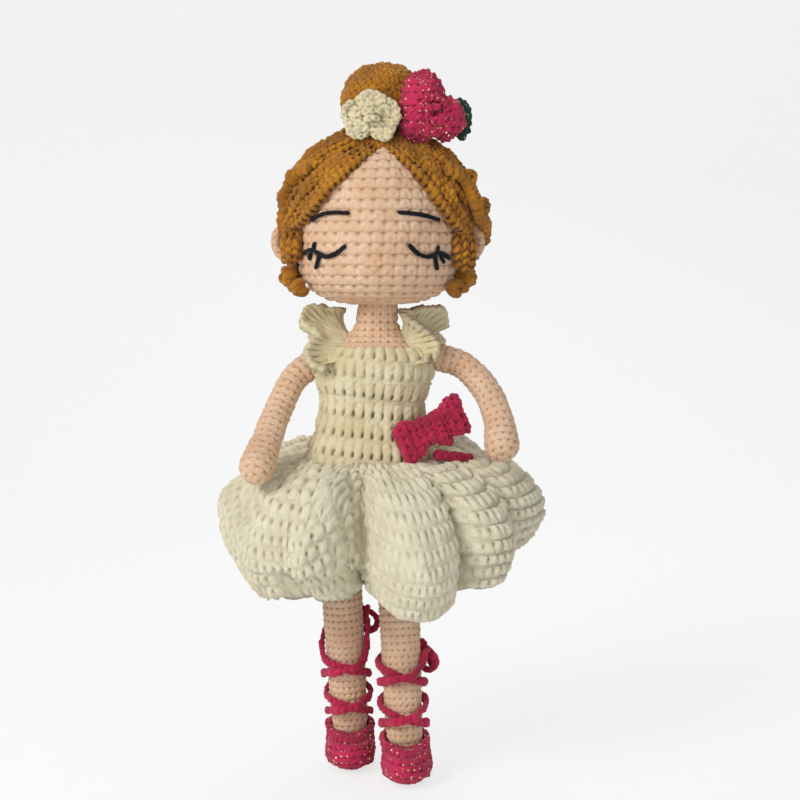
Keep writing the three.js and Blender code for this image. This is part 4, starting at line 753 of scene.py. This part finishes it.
def strand(line, outwards, width, thick, link, depth=0.22, around=16, tip=None, shift=0.07, uneven=0.08,
           painted_shade_values=0.0, kind=CORD):
    """A chain of stitches as a closed tube along a line: the section is an ellipse, width across and thick
    outwards, and each link is a V of two lobes, |sin(pi (s / link - lean |x|))|^0.6, either side of a groove.
    The ends taper over tip; width and the added painted shade may change along the line; kind is the links'
    lean, the groove's width, the lobes' relief, and how much painted shade the groove and the sides get."""
    lean, narrow, relief, painted_groove_shade, painted_side_shade = kind
    line = np.asarray(line, float)
    outwards = np.broadcast_to(outwards, line.shape)
    s = travelled(line)
    at = np.linspace(0, s[-1], max(int(s[-1] / link * 9), 12))
    centre, out = (np.stack([np.interp(at, s, every[:, k]) for k in range(3)], -1) for every in (line, outwards))
    wide, painted_shade_values = (np.interp(at, s, np.broadcast_to(every, len(s)))[:, None] for every in (width, painted_shade_values))
    ahead = unit(np.gradient(centre, axis=0))
    aside = unit(np.cross(unit(out), ahead))
    out = np.cross(ahead, aside)
    tip = tip or 0.35 * width
    taper = np.sqrt(smooth(at, -1e-6, tip) * smooth(s[-1] - at, -1e-6, tip))
    taper = np.maximum(taper, 0.05)[:, None]
    turn = np.arange(around) / around * TAU
    x, y = np.cos(turn), np.sin(turn)
    lobe = np.abs(np.sin(np.pi * ((at / link)[:, None] - lean * np.abs(x) + shift))) ** 0.6
    groove = bell(x, narrow) * (y > -0.3)
    height = depth * ((lobe - 0.6) * relief - 0.9 * groove)
    # painted shade: between the lobes, in the groove, at the sides where strands meet, and the added painted shade
    painted_shade = (0.55 - lobe) * relief + painted_groove_shade * groove + painted_side_shade * smooth(np.abs(x), 0.7, 1.0) + painted_shade_values
    a = ((wide / 2 + height) * taper * x)[..., None]
    b = ((thick / 2 + height) * taper * y)[..., None]
    points = centre[:, None, :] + aside[:, None, :] * a + out[:, None, :] * b
    return shell(points, 0.0, np.clip(painted_shade, 0, 1), uneven=uneven)


def flat_route(pairs, shares):
    """The azimuths and the polar angles at shares of a smooth route through azimuth and polar pairs."""
    return route([(*pair, 0) for pair in pairs], shares)[:, :2].T


def on_head(pairs, rise, steps=60):
    """(line, outward directions) of a route over the head through azimuth and polar pairs, raised by rise."""
    shares = np.linspace(0, 1, steps)
    rise = np.atleast_1d(rise)
    rise = np.interp(shares, np.linspace(0, 1, len(rise)), rise)
    way = flat_route(pairs, shares)
    line = head_point(*way, rise)
    return line, head_point(*way, rise + 1) - line


# Hair

def curl(azimuth, polar, rise, halves, seed):
    """A curl of hair: a braided strand wound outwards for a turn and a half over the egg that it fills."""
    chance = np.random.default_rng(seed)
    middle = head_point(azimuth, polar, rise)
    out = unit((middle - [0, 0, HEAD_LEVEL]) * [1, 1, 0.4] + [0, -9, 0])
    aside = unit(np.cross([0, 0, 1.0], out))
    up = np.cross(out, aside)
    share = np.linspace(0, 1, 70)[:, None]
    turn = share * 1.5 * TAU + chance.uniform(0, TAU)
    radius = lerp(0.12, 0.66, share)
    wide = min(halves[0], halves[1])
    line = middle + aside * wide * radius * np.cos(turn) + up * halves[2] * radius * np.sin(turn)
    line = line + out * wide * 0.5 * (1 - share)
    return strand(line, out, wide * 0.75, wide * 1.3, 2.1, depth=0.26, shift=0.07 * seed, uneven=0.14)


def tuft(middle, halves, side, seed):
    """A hanging lock: strands side by side that face the front and outwards, the outer ones shorter."""
    out = unit(np.array([0.4 * side, -0.9, 0]))
    beside = np.array([-out[1], out[0], 0])
    t = np.linspace(-1, 1, 40)[:, None]
    count = 3
    shells = []
    for i in range(count):
        across = (i + 0.5) / count * 2 - 1
        tall = (halves[2] + 1.5 * (t < 0)) * np.sqrt(1 - 0.5 * across ** 2)
        spread = across * halves[0] * 0.95 * (1 - 0.15 * smooth(t, 0.3, 1))
        ahead = 0.9 * (1 - t ** 2) - 0.8 * across ** 2 - 2.4 * smooth(-t, 0.1, 1)
        line = middle + beside * spread + [0, 0, -1] * t * tall + out * ahead
        # painted shadow of the swoop above: half strength on the right lock, less on the left
        shells.append(strand(line, out, halves[0] * 2.3 / count, halves[1] * 1.5, 2.2, depth=0.28,
                             shift=0.07 * (seed + i), uneven=0.18, painted_shade_values=0.5 if side > 0 else 0.18))
    return shells


SWOOPS = {  # the routes of the front and the rear edge as azimuth and polar pairs, and the rise at the rear
    "left": ([(7, 28), (-17, 50.5), (-30, 64.5), (-42, 75), (-56, 83.5), (-78, 88.5)],
             [(-30, 14), (-80, 30), (-102, 52), (-110, 72), (-110, 100)], 6.4),
    "right": ([(8.5, 28), (24, 50.5), (35.5, 64.5), (44, 75.5), (54, 84), (76, 89.5)],
              [(45, 14), (84, 30), (102, 52), (110, 72), (110, 100)], 7.4),
}
PARTED = {"left": (0.37, 0.02, 0.5), "right": (0.4, 0.1, 0.42)}  # the sunk parting, painted with shade: across, and from and to along
KNOBS = {  # azimuth, polar angle, rise and half sizes of the knots of hair
    "left": [(71, 63, 4.9, (2.7, 3.2, 3)), (76, 73, 5, (2.8, 3.2, 3.4))],
    "right": [(68, 65, 6.6, (3.3, 3.8, 4.2)), (72, 79.5, 8.4, (3.1, 3.8, 5.2)), (92, 88.5, 8.2, (2.1, 2.8, 4.6))],
}
WAVES = {  # a loose strand along the knots: azimuth and polar pairs, rises and width
    "left": ([(56, 55), (67, 61), (73, 70), (76, 80), (84, 90)], [3.4, 4.8, 5.2, 5, 3.6], 3.8),
    "right": ([(52, 57), (64, 64), (70, 72), (71, 81), (84, 86), (93, 91)], [4.4, 6.6, 7, 8, 8.2, 7.8], 4.4),
}
HAIR_STRAND = dict(depth=0.4, around=18, tip=1.2, uneven=0.19, kind=LOCK)
STRAND_THICK = 4.2


def swoop_piece(name):
    """Strands side by side from the hairline to behind the ear, each raised with its distance from the face,
    the first one broader, with a sunk parting among them that is painted with shade, and knots at the ends of a
    few."""
    front, rear, rear_rise = SWOOPS[name]
    side, strands = SIDES[name], 14
    chance = np.random.default_rng(71 + side)
    shells = []
    shares = np.linspace(0, 1, 60)
    fore, aft = (flat_route(pairs, shares) for pairs in (front, rear))
    widths = 1 + 0.5 * (chance.random(strands) - 0.5)
    widths[0] = 1.3
    edges = np.concatenate([[0], np.cumsum(widths)]) / widths.sum()
    parting, begin, finish = PARTED[name]
    for i in range(strands):
        across = (edges[i] + edges[i + 1]) / 2
        taper = lerp(0.42, 1, smooth(shares, 0, 0.8))
        rise = lerp(3.8, rear_rise, across ** 0.8) * taper + 0.7 * (chance.random() - 0.5)
        wave = 0.35 * np.sin(TAU * (shares * chance.uniform(1, 2.2) + chance.random()))
        sunk = bell(across - parting, 0.045) * smooth(shares, begin - 0.08, begin + 0.05)
        sunk = sunk * smooth(shares, finish + 0.1, finish - 0.05)
        rise = rise + wave - 3.6 * sunk
        middle = lerp(fore, aft, across)
        line = head_point(*middle, rise - 1.9)
        low, high = (head_point(*lerp(fore, aft, edge), rise) for edge in edges[i:i + 2])
        width = np.linalg.norm(high - low, axis=1)
        # the sunk parting also gets painted shade
        shells.append(strand(line, head_point(*middle, rise) - line, width * 1.1, STRAND_THICK,
                             chance.uniform(2.1, 2.6), shift=0.37 * i * 1.7, painted_shade_values=0.8 * sunk, **HAIR_STRAND))
    for azimuth, polar, rise, halves in KNOBS[name]:
        shells.append(curl(side * azimuth, polar, rise, halves, 73))
    pairs, rise, width = WAVES[name]
    line, outwards = on_head([(side * a, p) for a, p in pairs], rise)
    shells.append(strand(line, outwards, width, STRAND_THICK, 2.3, depth=0.34, around=18, uneven=0.2))
    return shells


for name in SIDES:
    piece(f"hair_{name}_swoop_strands", swoop_piece(name), HAIR, "head", f"hair_swoop_{name}")


def back_piece():
    """The hair behind: strands that run down from the bun to the nape."""
    shells = []
    strands, start, end = 17, 112, 248
    shares = np.linspace(0, 1, 50)
    polar = lerp(16, 116, shares)
    rise = 3.2 * (1 + 0.18 * smooth(shares, 0.7, 1))
    for i in range(strands):
        azimuth = lerp(start, end, (i + 0.5) / strands)
        line = head_point(azimuth, polar, rise)
        width = np.linalg.norm(head_point(azimuth + (end - start) / strands, polar, rise) - line, axis=1)
        shells.append(strand(line, head_point(azimuth, polar, rise + 1) - line, np.maximum(width, 1.2) * 1.12,
                             STRAND_THICK, 2.5, shift=0.37 * i * 1.3, **HAIR_STRAND))
    return shells


piece("hair_back_strands", back_piece(), HAIR, "head", "hair_back")


def cap_surface(t, share):
    """The crocheted cap under the strands: it covers the head behind and above the hairline."""
    azimuth = share[None, :] * 360
    edge = lerp(30, 112, smooth(np.abs(turned(azimuth)), 24, 100))
    return head_point(azimuth, 1.5 + t[:, None] * edge, 1.7 + 0 * azimuth)


def cap_piece():
    """The cap as a closed wall: the outer face with single crochet and a plain inner face."""
    columns, wall = 300, 1.2
    outer, length, girth = evenly(cap_surface, 160, columns)
    height, painted_shade = stitched(outer, length, girth, *GAUGE["cap"], seed=19)
    inner = cap_surface(np.linspace(1, 0.02, 30), np.arange(columns) / columns)
    inner = inner - unit(inner - [0, 0, HEAD_LEVEL]) * wall
    return lined(outer[1:], height[1:], painted_shade[1:], inner)


piece("hair_cap_crochet", [cap_piece()], HAIR, "head", "hair_cap")

bun_surface = egg((1.9, 2.5, HEAD_LEVEL + 43.4), (13.7, 13.7, 12.3))
bun = knitted(bun_surface, *GAUGE["bun"], braid, seed=21, drift=0.35, loose=0.2, uneven=0.16)
bun = piece("hair_bun_crochet", [bun], HAIR, "head", "hair_bun", "hair_bun_stuffing")


# Azimuth, polar angle, rise and half sizes
LOCKS = {"left": (70, 92.5, 2.6, (3.4, 3.2, 5.6)), "right": (70, 94.5, 2.8, (3.9, 3.4, 6.2))}
CURLS = [(84, 110, 3.2, (3.6, 4.6, 4.4)), (70, 121, 2.4, (3.2, 3.8, 3.8)), (101, 115, 3.0, (4.0, 4.8, 4.6))]
for name, side in SIDES.items():
    azimuth, polar, rise, halves = LOCKS[name]
    piece(f"hair_{name}_side_lock", tuft(head_point(side * azimuth, polar, rise), halves, side, 23),
          HAIR, "head", f"side_lock_{name}")
    piece(f"hair_{name}_curls", [curl(side * a, p, r, h, 25 + i) for i, (a, p, r, h) in enumerate(CURLS)],
          HAIR, "head", f"curls_{name}")


# Ears

def ear_dent(side):
    """The dent of an ear, open to the front: 2.6 mm deep at its middle."""
    def dent(way):
        depth = 2.6 * bell(way[..., 0] - 0.15 * side, 0.4) * bell(way[..., 2], 0.52) * smooth(-way[..., 1], 0, 0.5)
        return np.stack([0 * depth, depth, 0 * depth], -1)
    return dent


for name, side in SIDES.items():
    surface = egg((side * (HEAD_HALF_WIDTH + 2.9), -2.5, HEAD_LEVEL - 1.6), (5.3, 2.7, 6.4), ear_dent(side))
    piece(f"{name}_ear_crochet", [knitted(surface, *GAUGE["ear"], seed=31)], SKIN, "head", f"{name}_ear")


# Stitched features

STITCHES = {  # azimuth and polar pairs along each sewn thread of the face
    "left_brow": [[(-52.8, 83.6), (-36.5, 79.9), (-18.1, 80)]],
    "right_brow": [[(13.5, 79.6), (29.2, 80.5), (48, 83.2)]],
    "left_eyelid": [[(-62.4, 96), (-52, 94), (-44.2, 95.4), (-37, 97.6), (-30.5, 96.5), (-20.7, 91.9)],
                    [(-49, 94.5), (-47, 90.9)], [(-52, 95), (-53.4, 100.3)], [(-42, 95.8), (-48, 107.2)]],
    "right_eyelid": [[(21.5, 91.6), (28.9, 96), (37, 97.7), (46.8, 95.4), (60.1, 99)],
                     [(45, 95.6), (45.7, 91.9)], [(42, 96.5), (46.7, 108)], [(47, 95.6), (53.1, 102.4)]],
}
for name, lines in STITCHES.items():
    shells = []
    for pairs in lines:
        line, out = on_head(pairs, 0.62, 30)
        shells.append(strand(line, out, 1.4, 1.15, 2.2, depth=0.08, around=10, tip=0.7, uneven=0.05))
    piece(f"{name}_thread", shells, BLACK, "head", name)


# Flowers and leaf

FORWARD = np.array([0.0, -1.0, 0.0])


def rose_shells():
    """A rolled strip of crochet: a spiral band whose radius swells in lobes, in front of four big petals."""
    centre = np.array([16.6, -8.5, HEAD_LEVEL + 39.2])
    shells = []
    petals = [((-2.0, -1.5, 6.0), (6.3, 6.4, 6.6)), ((5.0, -1.4, -2.2), (6.1, 6.6, 6.6)),
              ((-4.0, -1.0, -3.2), (6.3, 6.8, 6.9)), ((-4.4, 0.2, 2.2), (5.5, 6.6, 6.4))]
    for i, (shift, halves) in enumerate(petals):
        shells.append(knitted(egg(centre + shift, halves), *GAUGE["rose"], seed=33 + i, drift=0.37, loose=0.42,
                              uneven=0.24))
    turn = np.linspace(0, 2.1 * TAU, 160)
    radius = lerp(0.9, 6.4, turn / turn[-1]) * (1 + 0.08 * np.sin(2.5 * turn))
    line = centre + np.stack([1.6 + radius * np.cos(turn), -7.6 + 0.42 * radius, -0.6 + radius * np.sin(turn)], -1)
    shells.append(strand(line, FORWARD, 2.6, 4.4, 2.3, depth=0.4, tip=1.56, uneven=0.3))
    return shells


piece("pink_rose_crochet", rose_shells(), GLITTER_PINK, "head", "pink_rose")

FLOWER = [  # each petal's middle, across and up, and its half sizes
    ((0.2, 3.5), (4.7, 2.7, 3.5)), ((-5, 0.5), (3.8, 2.4, 3.9)), ((5.2, 0.6), (3.7, 2.4, 4)),
    ((-3.6, -3.9), (3.9, 2.5, 3.4)), ((3.1, -4.1), (4, 2.5, 3.4))]


def white_flower_shells():
    """Puffy petals of looped yarn round a closed middle, with a chain along the edge of each and a rolled one
    across the front."""
    centre = np.array([-2, -14.2, HEAD_LEVEL + 37.8])
    chain = dict(depth=0.32, around=12, uneven=0.16)
    shells = [knitted(egg(centre + [0, 0.6, 0], (4.4, 2.2, 4.4)), *GAUGE["flower"], seed=41)]
    for i, ((x, z), halves) in enumerate(FLOWER):
        middle = centre + [x, 0, z]
        shells.append(knitted(egg(middle, halves), *GAUGE["petal"], seed=43 + i, loose=0.3, uneven=0.2))
        loop = np.linspace(-0.5 * np.pi, 0.5 * np.pi, 40) + np.arctan2(z, x)
        edge = np.stack([halves[0] * np.cos(loop), 0 * loop, halves[2] * np.sin(loop)], -1)
        line = middle + 0.86 * edge + 1.5 * FORWARD
        shells.append(strand(line, FORWARD, 2.2, 2.2, 2.1, shift=0.07 * i, **chain))
    across = np.linspace(-1, 1, 40)
    for z, length in ((1.2, 3.4), (-1.0, 2.6)):
        arch = across ** 2
        line = centre + np.stack([0.6 + length * across, -2.6 - 0.8 * (1 - arch), z - 0.9 * arch], -1)
        shells.append(strand(line, FORWARD, 2.2, 2.4, 2.1, **chain))
    return shells


piece("white_flower_crochet", white_flower_shells(), CREAM, "head", "white_flower")


def leaf_surface(t, share):
    """A leaf: an ellipsoid 6.3 x 1.6 x 3.8 mm in half, narrower towards one end and nearly upright."""
    polar, turn = t[:, None] * np.pi, share[None, :] * TAU
    x = np.cos(polar) * 6.3 + 0 * turn
    wide = np.sin(polar) * (1 - 0.25 * np.cos(polar))
    y, z = wide * np.sin(turn) * 1.6, wide * np.cos(turn) * 3.8
    tilt, yaw = np.radians(88), np.radians(24)
    x, z = x * np.cos(tilt) + z * np.sin(tilt), -x * np.sin(tilt) + z * np.cos(tilt)
    x, y = x * np.cos(yaw) - y * np.sin(yaw), x * np.sin(yaw) + y * np.cos(yaw)
    return np.stack([26.5 + x, -5 + y, HEAD_LEVEL + 37 + z], -1)


piece("green_leaf_crochet", [knitted(leaf_surface, *GAUGE["leaf"], seed=51, loose=0.3, uneven=0.2)],
      GLITTER_GREEN, "head", "green_leaf")


# Waist bow

BOW_CENTRE = np.array([17.2, -13.2, HIP_HEIGHT + 29.2])
BOW_YAW = 24
BOW_HALF_LENGTH, BOW_HALF_DEPTH = 12.2, 2.9
BOW_MIDDLE, BOW_MEAN, BOW_END = 3.6, 6.4, 6.9  # half heights
TAILS_BELOW = 9.7  # from the bow's middle to where its tails start


def slanting(tilt):
    """The direction along the bow's front that rises by tilt degrees to the right."""
    rise, level = compass(tilt)
    return level * facing(BOW_YAW + 90) + [0, 0, rise]


BOW_ALONG = slanting(25)
BOW_AHEAD = facing(BOW_YAW)
BOW_UP = -np.cross(BOW_ALONG, BOW_AHEAD)


def bow_section(turn):
    """A point of a section between an ellipse and a box, as shares of its half height and half depth."""
    return (np.sign(way) * np.abs(way) ** 0.6 for way in (np.cos(turn), np.sin(turn)))


def bow_turns(share):
    """Angles that are evenly spaced by arc length round the bow's flattened section."""
    turn = np.linspace(0, TAU, 721)
    high, front = bow_section(turn)
    length = travelled(np.stack([high * BOW_MEAN, front * BOW_HALF_DEPTH], -1))
    return np.interp(share * length[-1], length, turn)


def bow_surface(reach, grow):
    """surface(t, share) of the bow's band: a flattened section whose height is drawn in at the middle."""
    def surface(t, share):
        along = lerp(-1, 1, t)
        end = np.sqrt(np.clip(1 - np.clip((np.abs(along) - 0.9) / 0.1, 0, 1) ** 2, 0, 1))
        along = along * reach
        away = np.abs(along)
        tall = lerp(BOW_MIDDLE, BOW_END, smooth(away, 0.1, 0.75)) + grow
        deep = BOW_HALF_DEPTH * lerp(0.8, 1, np.sin(np.pi * np.clip(away, 0, 1))) + grow
        high, front = bow_section(bow_turns(share))
        return (BOW_CENTRE + along[:, None, None] * BOW_HALF_LENGTH * BOW_ALONG
                + high[None, :, None] * (tall * lerp(0.75, 1, end))[:, None, None] * BOW_UP
                + front[None, :, None] * np.maximum(deep * end, 1e-3)[:, None, None] * BOW_AHEAD)
    return surface


band = knitted(bow_surface(1.0, -0.2), *GAUGE["bow"], samples=11, across=10, seed=53, drift=0.4, loose=0.36,
               uneven=0.26)
wrap = knitted(bow_surface(0.23, 1.0), *GAUGE["wrap"], seed=55, loose=0.3, uneven=0.2)
piece("bow_band_crochet", [band], PINK, "trunk", "bow_band")
piece("bow_wrap_crochet", [wrap], PINK, "trunk", "bow_wrap")
seat = BOW_CENTRE - BOW_UP * TAILS_BELOW
for length, lift, back, name in ((15.5, 0, 4, "bow_tail_long"), (6.5, 5.9, 0, "bow_tail_short")):
    share = np.linspace(0, 1, 24)[:, None]
    line = seat + BOW_UP * lift + slanting(-9) * (length * share - back) + BOW_AHEAD * (0.3 - 1.7 * share ** 2)
    piece(f"{name}_chain", [strand(line, BOW_AHEAD, 3.4, 3.1, 2.8, depth=0.35)], PINK, "trunk", name)


# Shoes

SOLE_LEVEL = 0.3


def shoe_surface(name):
    """surface(t, share) of the shoe's outer face and rim: the foot's ellipsoid joined with the ankle's tube,
    flat below, up to a slanting rim."""
    _, _, foot_x, foot_y = STANCE[name]
    grow = CLEARANCE + SHOE_WALL - 0.25
    half = FOOT + grow
    path = route(leg_centres(name), np.linspace(0.5, 1, 60))[::-1]

    def reach_at(side, front, height):
        level = np.sqrt(np.clip(1 - ((height - FOOT_LEVEL) / half[2]) ** 2, 0, 1))
        foot = level / np.sqrt((side / half[0]) ** 2 + (front / half[1]) ** 2)
        x, y = (np.interp(height, path[:, 2], path[:, k]) - middle for k, middle in ((0, foot_x), (1, foot_y)))
        along = x * side - y * front
        across = np.clip((LEG_RADII[3] + grow) ** 2 - (x ** 2 + y ** 2 - along ** 2), 0, None)
        return np.maximum(foot, along + np.sqrt(across))

    def surface(t, share):
        """The sole from its middle to its edge over the first share of t, then the side up to the rim."""
        azimuth, edge = share[None, :] * 360, 0.3
        side, front = compass(azimuth)
        rim = lerp(11.8, 14.6, smooth(np.abs(turned(azimuth)), 70, 170))
        t = t[:, None]
        height = SOLE_LEVEL + np.clip((t - edge) / (1 - edge), 0, 1) * (rim - SOLE_LEVEL)
        sole = reach_at(side, front, SOLE_LEVEL) * np.clip(t / edge, 0, 1)
        reach = np.where(t < edge, sole, reach_at(side, front, height))
        return np.stack([foot_x + reach * side, foot_y - reach * front, height], -1)
    return surface


def shoe_piece(name):
    """The shoe as a closed wall: stitched outside, plain inside, with a rounded rim."""
    columns, wall = 230, 1.55
    surface = shoe_surface(name)
    outer, length, girth = evenly(surface, 150, columns)
    height, painted_shade = stitched(outer, length, girth, *GAUGE["shoe"], seed=57, drift=0.3, loose=0.24)
    inner, _, _ = evenly(surface, 40, columns)
    inner = (inner - normals(inner) * outward(inner) * wall)[1:][::-1]
    roll = 0.45 * bell(length[1:] - length[-1] + 0.9, 0.9)[:, None]
    height = height[1:] * smooth(outer[1:, :, 2], 0.0, 2.0) + roll
    return lined(outer[1:], height, painted_shade[1:], inner, uneven=0.1)


for name in SIDES:
    piece(f"{name}_shoe_crochet", [shoe_piece(name)], GLITTER_PINK, f"{name}_leg", f"{name}_shoe")


# Lacings

LACE_START, LACE_PITCH, LACE_TURNS = 17.2, 13, 1.68
LACE_BOWS = {"left": (150, 12.5, 9.5, -52), "right": (132, 1.5, 8.5, -58)}  # azimuth, climb, loop length and droop
LACE_THICK = 2
LACE_CORD = dict(depth=0.2, around=12)


def leg_at(name, height):
    """The leg's centre and radius at heights."""
    shares = np.linspace(0, 0.8, 400)
    path = route(leg_centres(name), shares)
    order = np.argsort(path[:, 2])
    share = np.interp(height, path[order, 2], shares[order])
    return route(leg_centres(name), share), radius_at(LEG_RADII, share)


def lacing_line(name, hand, lifted):
    """The line of one strand: it winds up the leg, one turn each 13 mm, and the upper one lifts at crossings."""
    azimuth_end, climb, _, _ = LACE_BOWS[name]
    turns = np.linspace(0, LACE_TURNS, 160)
    height = LACE_START + LACE_PITCH * turns + smooth(turns, LACE_TURNS - 0.3, LACE_TURNS) * climb
    azimuth = 90 * hand - hand * 360 * turns + smooth(turns, 1.3, LACE_TURNS) * (azimuth_end - 180)
    centre, radius = leg_at(name, height)
    crossing = ((turns + 0.25) % 0.5) * 360
    nearest = np.minimum(crossing, 180 - crossing)
    lift = (LACE_THICK + CLEARANCE) * (1 - smooth(nearest, 14, 48)) if lifted else 0 * turns
    way = facing(azimuth)
    line = centre + way * (radius + CLEARANCE + LACE_THICK / 2 + lift)[:, None]
    line[:, 2] = height
    return line, way


def lace_bow_shells(name):
    """The knot behind the leg, its two drooping loops and its two hanging ends."""
    azimuth, climb, loop_length, droop = LACE_BOWS[name]
    height = LACE_START + LACE_PITCH * LACE_TURNS + climb
    centre, radius = leg_at(name, np.array([height]))
    way, across, up = facing(azimuth), facing(azimuth + 90), np.array([0, 0, 1.0])
    knot = centre[0] + way * (radius[0] + CLEARANCE + 2.1)
    knot[2] = height
    shells = [knitted(egg(knot, (2.1, 2.1, 2.2)), *GAUGE["knot"], seed=61)]
    turn = np.linspace(0, 1, 60)[:, None] * np.pi
    share = np.linspace(0, 1, 30)[:, None]
    rise, level = compass(droop)
    for hand in (-1, 1):
        fall = across * hand * level + up * rise
        loop = (knot + fall * loop_length * np.sin(turn) + np.cross(way, fall) * 3.4 * np.sin(2 * turn)
                + way * 0.12 * loop_length * np.sin(turn))
        hang = across * hand * 0.35 - up + way * 0.15
        end = knot + hang * loop_length * 0.9 * share + way * 1.6 * np.sin(np.pi * share / 2)
        shells += [strand(line, way, 2.0, 1.9, 2.2, **LACE_CORD) for line in (loop, end)]
    return shells


for name in SIDES:
    for hand, lifted, word in ((1, False, "under"), (-1, True, "over")):
        chain = strand(*lacing_line(name, hand, lifted), 2.5, 1.8, 2.2, depth=0.24, around=14, uneven=0.12)
        piece(f"{name}_lacing_{word}_chain", [chain], PINK, f"{name}_leg", f"{name}_lacing_{word}")
    piece(f"{name}_lacing_bow_chain", lace_bow_shells(name), PINK, f"{name}_leg", f"{name}_lacing_bow")


# Stage, light and camera

def plain(name, colour, seen):
    """A matt surface whose colour towards the camera, and in reflections, is 72 percent seen."""
    material = bpy.data.materials.new(name)
    material.use_nodes = True
    tree = material.node_tree
    shader = tree.nodes["Principled BSDF"]
    shader.inputs["Base Color"].default_value = linear(colour)
    shader.inputs["Roughness"].default_value = 0.95
    path = node(tree, "ShaderNodeLightPath")
    rays = path.outputs["Is Camera Ray"]
    for word in ("Is Glossy Ray", "Is Transmission Ray"):
        rays = node(tree, "ShaderNodeMath", {0: rays, 1: path.outputs[word]}, operation="MAXIMUM").outputs[0]
    share = node(tree, "ShaderNodeMath", {0: rays, 1: 0.72}, operation="MULTIPLY").outputs[0]
    glow = node(tree, "ShaderNodeEmission", {"Color": linear(seen), "Strength": 1.0})
    both = node(tree, "ShaderNodeMixShader", {0: share, 1: shader.outputs[0], 2: glow.outputs[0]})
    tree.links.new(both.outputs[0], tree.nodes["Material Output"].inputs[0])
    return material


def backdrop():
    """A floor that curves up into a wall behind the doll."""
    radius, back, wide, tall = 400.0, 900.0, 3000.0, 2600.0
    turn = np.linspace(0, np.pi / 2, 24)
    y = np.concatenate([[-2500], back - radius + radius * np.sin(turn), [back]])
    z = np.concatenate([[0], radius - radius * np.cos(turn), [tall]])
    points = np.array([(x, b, c) for x in (-wide, wide) for b, c in zip(y, z)]) * MM
    count = len(y)
    quads = [(i, i + count, i + 1 + count, i + 1) for i in range(count - 1)]
    mesh = bpy.data.meshes.new("backdrop")
    mesh.from_pydata(points.tolist(), [], quads)
    mesh.polygons.foreach_set("use_smooth", np.ones(len(quads), bool))
    made = bpy.data.objects.new("backdrop", mesh)
    bpy.context.scene.collection.objects.link(made)
    mesh.materials.append(plain("White paper", "#f4f4f4", "#ffffff"))


backdrop()


def area_light(name, place, aim, size, power, colour=(1, 1, 1)):
    """A square lamp at a place that shines towards aim."""
    light = bpy.data.lights.new(name, "AREA")
    light.shape = "SQUARE"
    light.size = size * MM
    light.energy = power
    light.color = colour
    made = bpy.data.objects.new(name, light)
    bpy.context.scene.collection.objects.link(made)
    made.location = Vector(place) * MM
    made.rotation_euler = (Vector(aim) - Vector(place)).to_track_quat("-Z", "Y").to_euler()


area_light("Key", (-560, -560, 620), (0, 0, 120), 420, 5.2, (1.0, 0.98, 0.95))
area_light("Fill", (420, -640, 200), (0, 0, 90), 600, 0.9, (0.98, 0.99, 1.0))
area_light("Low", (-260, -640, 60), (0, 0, 40), 400, 0.7)
area_light("Back", (100, 520, 620), (0, 0, 120), 500, 1.6)

CAMERA_PLACE = (7.13, -550, 168)
CAMERA_PITCH = 4.859  # degrees down

world = bpy.data.worlds.new("Studio")
bpy.context.scene.world = world
world.use_nodes = True
world.node_tree.nodes["Background"].inputs["Color"].default_value = (0.95, 0.97, 1.0, 1)
world.node_tree.nodes["Background"].inputs["Strength"].default_value = 0.38

lens = bpy.data.cameras.new("Camera")
lens.lens = 76.34
lens.sensor_width = 36
lens.clip_start = 0.01
camera = bpy.data.objects.new("Camera", lens)
bpy.context.scene.collection.objects.link(camera)
camera.location = [way * MM for way in CAMERA_PLACE]
camera.rotation_euler = (np.radians(90 - CAMERA_PITCH), 0, 0)
bpy.context.scene.camera = camera
bpy.context.scene.view_settings.view_transform = "Standard"
